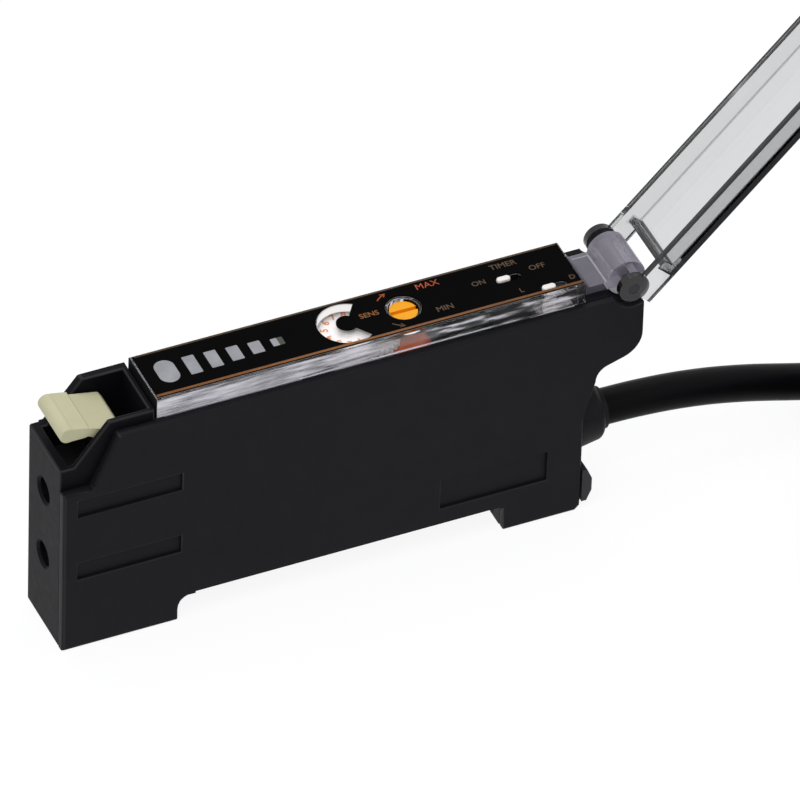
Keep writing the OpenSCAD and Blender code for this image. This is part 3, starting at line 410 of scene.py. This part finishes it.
MOULDED = {
    "case": ("case_plastic", (13, 12, 16), (18, 17, 22), 0.5, 0.05),
    "side_cover": ("side_plastic", (15, 14, 18), (21, 20, 25), 0.5, 0.1),
    "fibre_block": ("guide_plastic", (20, 20, 22), (30, 30, 32), 0.5, 0.2),
    "lock_lever": ("lever_plastic", (182, 178, 144), (196, 193, 160), 0.45, 0.3),
    "adjuster": ("adjuster_plastic", (240, 158, 12), (247, 168, 22), 0.35, 0.2),
    "white_plastic": ("white_plastic", (228, 223, 218), (240, 236, 232), 0.4, 0.35),
    "gear_plate": ("plate_plastic", (212, 208, 198), (226, 222, 212), 0.45, 0.3),
    "rail_latch": ("latch_plastic", (36, 36, 40), (48, 48, 52), 0.5, 0.25),
    "fibre_clamp": ("clamp_rubber", (70, 70, 74), (84, 84, 88), 0.7, 0.2),
    "trimmer": ("trimmer_plastic", (226, 96, 30), (240, 118, 44), 0.35, 0.4),
    "board_chips": ("chip_plastic", (24, 24, 26), (34, 34, 37), 0.55, 0.3),
    "switch_body": ("switch_plastic", (214, 210, 208), (228, 225, 222), 0.4, 0.35),
    # Painted highlight: the bevels of the case and the side cover are a little paler.
    "painted_edge_highlight": ("painted_edge_highlight", (24, 23, 27), (33, 32, 36), 0.45, 0.15),
    "dark_pin": ("dark_pin", (34, 34, 37), (48, 48, 51), 0.35, 0.3),
    "coil_tie": ("tie_plastic", (26, 26, 28), (38, 38, 41), 0.5, 0.3),
    "grommet": ("grommet_rubber", (14, 14, 17), (22, 22, 25), 0.55, 0.16, 0.4, 6000),
    "cable": ("cable_vinyl", (7, 7, 9), (11, 11, 13), 0.44, 0.06, 0.2, 5000),
    "core_brown": ("core_brown", (86, 48, 26), (104, 60, 34), 0.4, 0.3),
    "core_blue": ("core_blue", (24, 52, 140), (36, 68, 160), 0.4, 0.3),
    "core_black": ("core_black", (18, 18, 19), (28, 28, 29), 0.4, 0.3),
}
finish = {slot: moulded(*look) for slot, look in MOULDED.items()}
print("moulded finishes:", len(finish))

# %% [markdown]
# The lens and the cover are clear plastic. A clear piece is never only a white sheet: light that runs a long
# way inside it is swallowed, so its edges go dark. We could paint every edge, but a volume that absorbs a
# little does most of it by itself. A faint noise in the roughness gives the handling marks of a real cover,
# and a slow ripple bends what is seen through it.

# %% A bench for clear plastic
CLEAR_IOR = 1.49


class ClearBench(Bench):
    def glass(self, tint, rough):
        return self.surface({
            "Base Color": tint,
            "Roughness": rough * (0.5 + self.noise(350, 4)),
            "IOR": CLEAR_IOR,
            "Transmission Weight": 1.0,
            "Normal": self.bump(self.noise(160, 1), 0.04 * MM, 0.3)})

    def cloudy(self, dark, light, rough, level=0.5):
        return self.surface({
            "Base Color": self.blend(self.noise(600, 3), colour(*dark), colour(*light)),
            "Roughness": rough,
            "Specular IOR Level": level})

    def swallowing(self, shader, tone, density):
        inside = self.add("ShaderNodeVolumeAbsorption", None, {"Color": tone, "Density": density})
        return self.finish(shader, inside)


print("clear plastic bends light by", CLEAR_IOR)

# %% [markdown]
# The open cover stands up from its hinge. Three places of it look dark from the front: the plastic round the
# hinge, the thin rim of the near wall and a strip of that wall along the top plate, where we look a long way
# into the plastic. This dark is painted shade: a nearly black tint round the hinge, and a dark, less glossy
# finish over the rim and the strip. Each is found by its place, with comparisons of coordinates that are
# turned with the cover: on the closed cover `lift` would be the height over the hinge, and `reach` the way
# along the box. The softened edges get a finish of their own with painted light: painted shade at the near
# side and a paler painted light at the far one.

# %% The cover's finish
low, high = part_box("hinge_pin")
HINGE = ((low.x + high.x) / 2, (low.z + high.z) / 2)
HINGE_R = 1.85 * MM
COVER_OPEN = math.radians(134)
COVER_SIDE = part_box("clear_cover")[1].y - 0.05 * MM
RIM_LIFT, RIM_REACH = 0.13 * MM, -1.9 * MM
STRIP_LIFT, STRIP_REACH = 2.45 * MM, -3.5 * MM
PAINTED_SHADE_SHARE = 0.95
COVER_TINT, HINGE_SHADE_TINT = (0.74, 0.745, 0.75, 1), (0.012, 0.012, 0.014, 1)
# Painted light on the cover's edges: painted shade at the near side, paler at the far side.
NEAR_EDGE_SHADE, FAR_EDGE_LIT = (0.02, 0.02, 0.022, 1), (0.4, 0.4, 0.41, 1)


def clear_cover():
    bench = ClearBench("cover_plastic")
    x, z = bench.axis("X") - HINGE[0], bench.axis("Z") - HINGE[1]
    # Painted shade: the clear plastic round the hinge is tinted nearly black.
    tint = bench.blend(x * x + z * z < HINGE_R ** 2, COVER_TINT, HINGE_SHADE_TINT)
    painted_dull = bench.surface({
        "Base Color": colour(44, 44, 46),
        "Roughness": 0.35 + 0.2 * bench.noise(350, 4),
        "Specular IOR Level": 0.2})
    side = bench.axis("Y")
    lift = math.sin(COVER_OPEN) * x + math.cos(COVER_OPEN) * z
    reach = math.cos(COVER_OPEN) * x - math.sin(COVER_OPEN) * z
    at_rim = (lift < RIM_LIFT) * (reach < RIM_REACH) * (side < 0.0)
    at_strip = (side < -COVER_SIDE) * (lift > STRIP_LIFT) * (reach < STRIP_REACH)
    # Painted shade: the rim and the strip get the dark, less glossy finish.
    shader = bench.mixed_in(PAINTED_SHADE_SHARE * (at_rim + at_strip), bench.glass(tint, 0.05), painted_dull)
    return bench.swallowing(shader, (0.4, 0.41, 0.42, 1), 150)


# The cover's edges: painted shade at the near side, painted light at the far side.
def painted_cover_edge():
    bench = ClearBench("painted_cover_edge")
    tint = bench.blend(bench.axis("Y") > 0.8 * COVER_SIDE, NEAR_EDGE_SHADE, FAR_EDGE_LIT)
    return bench.finish(bench.glass(tint, 0.2))


finish["clear_cover"] = clear_cover()
finish["painted_cover_edge"] = painted_cover_edge()
print("cover finishes: 2, hinge at", [round(1000 * v, 2) for v in HINGE], "mm")

# %% [markdown]
# The lens is a long clear block. Its long sides are streaky from the mould and pale over the front half.
# Over the rear half they get painted reflections of the inner faces: streaks of painted shade and bright
# painted glints. The end at the hinge is duller and painted a pale grey, a painted reflection of the inner
# faces of the block there. The seat on the case is frosted, and the front end and the slot of the timer
# switch are black. Cutting the lens into pieces would show seams, so the looks are laid over each other as a
# list of shares, the last one on top.

# %% The lens's finish
SEAT_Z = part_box("panel_film")[0].z - 2.55 * MM
low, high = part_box("display_lens")
LENS_SIDE = high.y - 0.015 * MM
LENS_FRONT = low.x + 0.13 * MM
LENS_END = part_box("panel_film")[1].x + 0.4 * MM
low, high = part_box("timer_knob")
TIMER = (low + high) / 2
SLOT_X, SLOT_Y = 2 * MM, 1 * MM
PALE_ENDS = (2.8 * MM, 6.5 * MM)
REAR_STARTS = (9.5 * MM, 11.5 * MM)
PAINTED_END_SHARE = 0.55


def lens_sides(bench, frost_and_glint, dark):
    x, y = bench.axis("X"), bench.axis("Y")
    flank = y * y > LENS_SIDE ** 2
    front = flank * bench.spread(x, *PALE_ENDS, 1.0, 0.1)
    rear = flank * bench.spread(x, *REAR_STARTS, 0.0, 1.0)
    streaks = bench.spread(bench.drawn_noise((250, 2500, 2500), 3), 0.35, 0.62, 0.2, 1.0)
    reflection_noise = bench.drawn_noise((260, 300, 1500), 2)
    # Painted shade: dark streaks over the rear half.
    shade = bench.spread(reflection_noise, 0.42, 0.6, 0.85, 0.0)
    # Painted glints: bright streaks over the rear half.
    glint = bench.spread(reflection_noise, 0.55, 0.68, 0.0, 0.9)
    return [(front * streaks, frost_and_glint), (rear * shade, dark), (rear * glint, frost_and_glint)]


def clear_lens():
    bench = ClearBench("lens_plastic")
    # A pale grey for the end at the hinge: a painted reflection of the inner faces.
    painted_dull = bench.cloudy((108, 104, 117), (134, 130, 143), 0.3)
    frost_and_glint = bench.cloudy((208, 204, 214), (234, 231, 238), 0.6)
    # Black for the front end and the slot, and the painted shade of the rear streaks.
    dark = bench.cloudy((6, 6, 7), (11, 11, 12), 0.5, 0.1)
    x, y, z = bench.axis("X"), bench.axis("Y"), bench.axis("Z")
    slot_x, slot_y = x - TIMER.x, y - TIMER.y
    at_slot = (slot_x * slot_x < SLOT_X ** 2) * (slot_y * slot_y < SLOT_Y ** 2)
    shader = bench.glass((0.96, 0.955, 0.98, 1), 0.05)
    layers = lens_sides(bench, frost_and_glint, dark)
    layers += [((x > LENS_END) * PAINTED_END_SHARE, painted_dull), (z < SEAT_Z, frost_and_glint)]
    layers += [(x < LENS_FRONT, dark), (at_slot, dark)]
    for share, other in layers:
        shader = bench.mixed_in(share, shader, other)
    return bench.swallowing(shader, (0.5, 0.5, 0.56, 1), 70)


finish["display_lens"] = clear_lens()
print("lens black to", round(1000 * LENS_FRONT, 1), "mm, dull from", round(1000 * LENS_END, 1), "mm")

# %% [markdown]
# Metal, circuit boards and light parts need finishes of their own. Bright wire has fine lines along it,
# from a noise that is drawn out. The boards have a woven base under green lacquer, which a fine checker
# gives. The light pipe and the LEDs are cloudy, so their colour changes slowly from place to place.

# %% Metal, boards and lamps
def drawn_metal(name, tone, rough):
    bench = Bench(name)
    lines = bench.drawn_noise((9000, 400, 9000), 2)
    shader = bench.surface({
        "Base Color": bench.blend(lines, tuple(0.9 * v for v in tone) + (1,), tone + (1,)),
        "Metallic": 1.0,
        "Roughness": rough - 0.08 + 0.16 * lines,
        "Normal": bench.bump(lines, 0.01 * MM, 0.3)})
    return bench.finish(shader)


def lacquered_board():
    bench = Bench("lacquered_board")
    weave = bench.add("ShaderNodeTexChecker", None, {"Vector": bench.place, "Scale": 2200}).out("Fac")
    cloud = bench.noise(300, 3)
    shader = bench.surface({
        "Base Color": bench.blend(0.35 * weave + 0.5 * cloud, colour(10, 42, 26), colour(18, 62, 38)),
        "Roughness": 0.26 + 0.12 * cloud,
        "Coat Weight": 0.5,
        "Normal": bench.bump(weave, 0.02 * MM, 0.2)})
    return bench.finish(shader)


def frosted(name, tone, deep, rough):
    bench = Bench(name)
    cloud = bench.noise(700, 3)
    shader = bench.surface({
        "Base Color": bench.blend(cloud, colour(*deep), colour(*tone)),
        "Roughness": rough + 0.1 * cloud,
        "Specular IOR Level": 0.4,
        "Normal": bench.bump(bench.noise(7000, 2), 0.03 * MM, 0.2)})
    return bench.finish(shader)


finish["steel"] = drawn_metal("bright_wire", (0.62, 0.62, 0.64), 0.3)
finish["board_capacitors"] = drawn_metal("capacitor_can", (0.7, 0.71, 0.74), 0.35)
finish["tinned_tip"] = drawn_metal("tinned_core", (0.7, 0.68, 0.62), 0.35)
finish["board"] = lacquered_board()
finish["light_pipe"] = frosted("frosted_window", (226, 226, 226), (206, 207, 210), 0.5)
finish["indicator_leds"] = frosted("led_epoxy", (238, 226, 170), (222, 208, 150), 0.3)
finish["emitter_led"] = frosted("red_emitter", (200, 40, 46), (170, 26, 34), 0.25)
finish["receiver_diode"] = frosted("dark_receiver", (40, 40, 60), (28, 28, 44), 0.22)
print("finishes now:", len(finish))

# %% [markdown]
# The panel is a black printed film with a gloss. Its gloss is a smooth surface with a very slight ripple, so
# that the reflection isn't that of a perfect mirror. Only the top is black: the back of the film is its pale
# glue, which brightens the lens under it. The inks are duller, and a little worn in patches.

# %% Panel film and inks
FILM_BACK, FILM_TOP = (corner.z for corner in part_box("panel_film"))


def gloss_film():
    bench = Bench("gloss_film")
    cloud = bench.noise(200, 3)
    print_black = bench.blend(cloud, colour(4, 4, 4), colour(7, 6, 6))
    pale_back = bench.blend(cloud, colour(206, 200, 206), colour(220, 215, 218))
    shader = bench.surface({
        "Base Color": bench.blend(bench.axis("Z") < FILM_BACK + 0.03 * MM, print_black, pale_back),
        "Roughness": 0.16 + 0.08 * cloud,
        "Specular IOR Level": 0.012,
        "Normal": bench.bump(bench.noise(420, 1), 0.03 * MM, 0.25)})
    return bench.finish(shader)


def ink(name, tone, faded):
    bench = Bench(name)
    patches = bench.noise(2600, 3)
    shader = bench.surface({
        "Base Color": bench.blend(patches, colour(*faded), colour(*tone)),
        "Roughness": 0.4 + 0.1 * patches,
        "Specular IOR Level": 0.2})
    return bench.finish(shader)


finish["panel_film"] = gloss_film()
finish["orange_ink"] = ink("orange_ink", (150, 96, 48), (96, 60, 32))
finish["red_ink"] = ink("red_ink", (190, 84, 44), (130, 56, 32))
finish["pale_ink"] = ink("pale_ink", (92, 70, 48), (56, 42, 30))
finish["dial_ink"] = ink("dial_ink", (214, 132, 44), (196, 112, 34))
print("finishes with film and inks:", len(finish))

# %% [markdown]
# Every CAD part names its finish in the record. We walk through the parts and give each its material, so no
# part is forgotten. The hinge pin alone gets another one, because it is dark in its drum.

# %% Dress the CAD parts
for part in frame["record"]["subparts"]:
    target = node[part["node"]]
    target.data.materials.clear()
    target.data.materials.append(finish[part["material_slot"]])
node["hinge_pin"].data.materials[0] = finish["dark_pin"]
cable.data.materials.append(finish["cable"])
for piece in cores:
    piece.data.materials.append(finish["tinned_tip" if piece.name.endswith("_tip") else piece.name])

# %% [markdown]
# Lettering comes from text objects that are turned into mesh. The two faces of such a mesh aren't joined to
# its rim, so they are welded. A painted texture would need an image, and real ink has a small thickness
# anyway: it stands a hundredth of a millimetre over the film, so that it never flickers with the film's own
# face.

# %% Lettering
WELD = 0.001 * MM
INK_HALF = 0.006 * MM
INK_LIFT = 0.007 * MM


def weld(distance, flat_angle=0):
    bpy.ops.object.mode_set(mode="EDIT")
    bpy.ops.mesh.select_all(action="SELECT")
    bpy.ops.mesh.remove_doubles(threshold=distance)
    if flat_angle:
        bpy.ops.mesh.dissolve_limited(angle_limit=math.radians(flat_angle))
    bpy.ops.object.mode_set(mode="OBJECT")


def placed_flat(x, y, z, turn, body, ink_name):
    bpy.ops.object.convert(target="MESH")
    piece = bpy.context.object
    piece.location = (x * MM, y * MM, z)
    piece.rotation_euler = (0, 0, math.radians(turn))
    bpy.ops.object.transform_apply(location=True, rotation=True, scale=True)
    weld(WELD)
    piece.data.materials.clear()
    piece.data.materials.append(finish[ink_name])
    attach(piece, body)
    return piece


def words(name, text, x, y, size, ink_name, z=FILM_TOP, turn=0, body="housing", bold=0.012):
    bpy.ops.object.select_all(action="DESELECT")
    bpy.ops.object.text_add()
    piece = bpy.context.object
    piece.name = name
    piece.data.body = text
    piece.data.size = size * MM
    piece.data.align_x = "CENTER"
    piece.data.align_y = "CENTER"
    piece.data.resolution_u = 4
    piece.data.extrude = INK_HALF
    piece.data.offset = bold * MM
    return placed_flat(x, y, z + INK_LIFT, turn, body, ink_name)


marks = [words("mark_max", "MAX", 12.8, 2.5, 1.3, "red_ink", bold=0),
         words("mark_min", "MIN", 13.1, -1.8, 1.15, "pale_ink"),
         words("mark_sens", "SENS", 4.9, 0.3, 1.05, "orange_ink"),
         words("mark_timer", "TIMER", 21.9, 2.4, 1.15, "pale_ink"),
         words("mark_on", "ON", 18.2, 0.6, 1.05, "pale_ink"),
         words("mark_off", "OFF", 25.3, 0.75, 1.1, "pale_ink"),
         words("mark_light", "L", 22.1, -2.3, 1.0, "pale_ink"),
         words("mark_dark", "D", 28.2, -2.3, 1.0, "pale_ink")]
print("marks:", len(marks))

# %% [markdown]
# The white dial has numbers round its rim. They could be placed by hand, but a loop that sets them on a
# circle, each turned to face the middle, keeps them even. They ride on the dial, so they turn with it.

# %% Numbers on the dial
NUMBERS = 8
NUMBER_STEP = 30
NUMBER_R = 2.45
low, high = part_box("sensitivity_dial")
dial_x, dial_r, dial_top = 500 * (low.x + high.x), 500 * (high.y - low.y), high.z
for i in range(NUMBERS):
    angle = 180 + (i - (NUMBERS - 1) / 2) * NUMBER_STEP
    x = dial_x + NUMBER_R * math.cos(math.radians(angle))
    y = NUMBER_R * math.sin(math.radians(angle))
    words(f"dial_{i + 1}", str(NUMBERS - i), x, y, 1.2, "dial_ink", dial_top, angle - 90, "dial", 0.04)
print("numbers on the dial:", NUMBERS)

# %% [markdown]
# Thin lines are printed along both long edges of the panel and round the adjuster, with arrow heads that say
# which way is more. A line is a curve with a small thickness that is flattened to ink, because a curve bends
# round the adjuster more evenly than a strip of faces.

# %% Printed lines
LINE_THICK = 0.02
ARROWS = (("arrow_more", 1, "red_ink"), ("arrow_less", -1, "pale_ink"))
ARROW_R, ARROW_WIDTH = 3.05, 0.16
ARROW_HEAD = ((3.35, 120), (3.05, 110), (2.75, 120))


def poly_curve(name, points, dimensions):
    data = bpy.data.curves.new(name, "CURVE")
    data.dimensions = dimensions
    spline = data.splines.new("POLY")
    spline.points.add(len(points) - 1)
    for knot, (x, y) in zip(spline.points, points):
        knot.co = (x * MM, y * MM, 0, 1)
    return data


def printed_line(name, points, width, ink_name):
    data = poly_curve(name, points, "3D")
    data.bevel_depth = width / 2 * MM
    data.bevel_resolution = 1
    data.use_fill_caps = True
    new_piece(name, data).scale.z = LINE_THICK / width
    return placed_flat(0, 0, FILM_TOP + INK_HALF, 0, "housing", ink_name)


def on_ring(cx, radius, angle):
    return cx + radius * math.cos(math.radians(angle)), radius * math.sin(math.radians(angle))


def ring_points(cx, radius, start, stop, count=14):
    return [on_ring(cx, radius, start + (stop - start) * i / (count - 1)) for i in range(count)]


low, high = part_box("panel_film")
left, right, edge = 1000 * low.x, 1000 * high.x, 1000 * high.y
low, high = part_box("adjuster")
adjust_x = 500 * (low.x + high.x)
lines = [printed_line("line_near", [(left, 0.2 - edge), (right, 0.2 - edge)], 0.39, "orange_ink"),
         printed_line("line_far", [(left + 0.2, edge - 0.15), (right - 0.2, edge - 0.15)], 0.22, "pale_ink")]
for name, way, ink_name in ARROWS:
    bow = ring_points(adjust_x, ARROW_R, way * 138, way * 112)
    lines.append(printed_line(name, bow, ARROW_WIDTH, ink_name))
for name, way, ink_name in ARROWS:
    head = [on_ring(adjust_x, r, way * angle) for r, angle in ARROW_HEAD]
    lines.append(printed_line(name + "_tip", head, ARROW_WIDTH, ink_name))
print("printed lines:", len(lines))

# %% [markdown]
# The opening over the dial is a little wider than the dial looks from the front, so its far edge has a white
# crescent: the area between the opening's circle and the dial's circle, which seems moved to the viewer. Two
# arcs close one flat curve, which is simpler than cutting one disc with another.

# %% White crescent at the dial
UNDER_TOP = 0.18 * MM
CRESCENT_HALF = 0.01 * MM
CRESCENT_FROM, CRESCENT_TO = 40, 150
SEEN_SHIFT = (-0.5, -1.1)
ARC_POINTS = 24


def crescent(name, cx, radius):
    outer = ring_points(cx, radius, CRESCENT_FROM, CRESCENT_TO, ARC_POINTS)
    inner = [(x + SEEN_SHIFT[0], y + SEEN_SHIFT[1]) for x, y in reversed(outer)]
    data = poly_curve(name, outer + inner, "2D")
    data.splines[0].use_cyclic_u = True
    data.fill_mode = "BOTH"
    data.extrude = CRESCENT_HALF
    new_piece(name, data)
    return placed_flat(0, 0, FILM_TOP - UNDER_TOP, 0, "housing", "white_plastic")


rim = crescent("dial_crescent", dial_x, dial_r)
print("crescent:", rim.name)

# %% [markdown]
# The indicator windows are frosted patches in the film: one oval and five bars that get shorter. Each is a
# plane with its corners rounded by a vertex bevel, extruded to nearly the film's thickness. The far half of
# the last bar gets a darker colour, a painted shade.

# %% Indicator windows
WINDOW_THICK = 0.16 * MM
BAR_WIDTH, BAR_CORNER = 1.41, 0.12
BAR_SPARE = 0.04
BARS = [(-16.34 + 2.54 * i, length) for i, length in enumerate((3.1, 2.8, 2.4, 2.0, 1.3))]
SHADED_FROM = (BARS[-1][0] + 0.05) * MM


def window_frost():
    bench = Bench("window_frost")
    cloud = bench.noise(500, 3)
    lit = bench.blend(cloud, colour(114, 115, 120), colour(163, 164, 168))
    shader = bench.surface({
        # Painted shade over the far half of the last bar.
        "Base Color": bench.blend(bench.axis("X") > SHADED_FROM, lit, colour(58, 60, 52)),
        "Roughness": 0.42 + 0.16 * cloud,
        "Specular IOR Level": 0.3,
        "Normal": bench.bump(bench.noise(6000, 2), 0.03 * MM, 0.2)})
    return bench.finish(shader)


def window_plate(name, x, width, length, corner, steps):
    bpy.ops.object.select_all(action="DESELECT")
    bpy.ops.mesh.primitive_plane_add(size=1)
    piece = bpy.context.object
    piece.name = name
    bpy.ops.object.mode_set(mode="EDIT")
    bpy.ops.mesh.select_all(action="SELECT")
    bpy.ops.transform.resize(value=(width * MM, length * MM, 1))
    bpy.ops.mesh.bevel(offset=corner * MM, affect="VERTICES", segments=steps)
    bpy.ops.mesh.extrude_region_move(TRANSFORM_OT_translate={"value": (0, 0, WINDOW_THICK)})
    bpy.ops.mesh.select_all(action="SELECT")
    bpy.ops.mesh.normals_make_consistent(inside=False)
    bpy.ops.transform.translate(value=(x * MM, 0, FILM_TOP - UNDER_TOP))
    bpy.ops.object.mode_set(mode="OBJECT")
    piece.data.materials.append(finish["window"])
    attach(piece, "housing")
    return piece


finish["window"] = window_frost()
windows = [window_plate("window_oval", -19.35, 2.36, 3.76, 1.15, 8)]
for i, (x, length) in enumerate(BARS):
    windows.append(window_plate(f"window_bar_{i + 1}", x, BAR_WIDTH, length - BAR_SPARE, BAR_CORNER, 3))
print("windows:", len(windows))

# %% [markdown]
# Sharp CAD edges look unreal, because a mould can't make them. For the moulded pieces that show most we copy
# the CAD mesh, merge its loose triangles and dissolve what lies flat. The copy stands for the CAD part. A
# bevel needs room, so an edge is left sharp where a much shorter edge meets it: each edge gets a weight of
# one or nothing, and only the weighted ones are bevelled.

# %% Merged copies and their edges
SMALL_STEP = 0.012 * MM
FLAT_ANGLE = 1
SHARP_ANGLE = 35


def merged_copy(name, body):
    piece = new_piece(name + "_soft", node[name].data.copy())
    weld(SMALL_STEP, FLAT_ANGLE)
    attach(piece, body)
    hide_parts(name)
    return piece


def mark_edges(piece, room_asked, inner):
    mesh = bmesh.new()
    mesh.from_mesh(piece.data)
    weight = mesh.edges.layers.float.new("bevel_weight_edge")
    marked = 0
    for edge in mesh.edges:
        room = min(other.calc_length() for end in edge.verts for other in end.link_edges)
        bend = math.degrees(edge.calc_face_angle_signed(0))
        sharp = bend > SHARP_ANGLE or inner and bend < -SHARP_ANGLE
        edge[weight] = float(sharp and room > room_asked)
        marked += int(edge[weight])
    mesh.to_mesh(piece.data)
    mesh.free()
    print(piece.name, "has", marked, "edges to soften")


print("edges are sharp from", SHARP_ANGLE, "degrees")

# %% [markdown]
# Now the bevels. The inner corners of the case and the side cover stay sharp, because other parts sit in
# them. Their outer edges get a paler finish, a painted highlight, and the clear cover's edges get its own
# finish of painted shade and light. Weighted normals keep the large faces flat, while the bevels are shaded
# round. The two clear pieces cast no shadow, because it would come out far darker than that of real clear
# plastic.

# %% Softened copies
SMOOTH_ANGLE = 40


def softened(name, body, width, segments=3, edge=None, room=2.0, inner=True):
    piece = merged_copy(name, body)
    mark_edges(piece, room * width * MM, inner)
    rounding = piece.modifiers.new("rounding", "BEVEL")
    rounding.width = width * MM
    rounding.segments = segments
    rounding.limit_method = "WEIGHT"
    rounding.use_clamp_overlap = False
    if edge:
        piece.data.materials.append(finish[edge])
        rounding.material = 1
    bpy.ops.object.modifier_apply(modifier="rounding")
    bpy.ops.object.shade_smooth_by_angle(angle=math.radians(SMOOTH_ANGLE))
    flattening = piece.modifiers.new("flattening", "WEIGHTED_NORMAL")
    flattening.keep_sharp = True
    bpy.ops.object.modifier_apply(modifier="flattening")
    return piece


softened("lock_lever", "lever", 0.2, room=0.3)
softened("timer_knob", "timer_slider", 0.12, 2, room=0)
softened("mode_knob", "mode_slider", 0.12, 2, room=0)
# The paler bevel finish is a painted highlight.
softened("case", "housing", 0.2, edge="painted_edge_highlight", inner=False)
softened("side_cover", "housing", 0.14, 2, edge="painted_edge_highlight", inner=False)
clear_pieces = [softened("clear_cover", "cover", 0.22, edge="painted_cover_edge"),
                softened("display_lens", "housing", 0.1, 2)]
for piece in clear_pieces:
    piece.visible_shadow = False
print("no shadow:", [piece.name for piece in clear_pieces])

# %% [markdown]
# The rail latch is pulled out against a small coil spring. A stiff copy of the spring would be run over by
# the latch as it slides. The copy here is merged and shaded smooth, and gets a mesh of its own.

# %% The latch's spring
WIRE_ANGLE = 70
spring = merged_copy("latch_spring", "housing")
bpy.ops.object.shade_smooth_by_angle(angle=math.radians(WIRE_ANGLE))
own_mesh(spring)
print("spring:", len(spring.data.polygons), "faces")

# %% The end
bpy.context.view_layer.update()
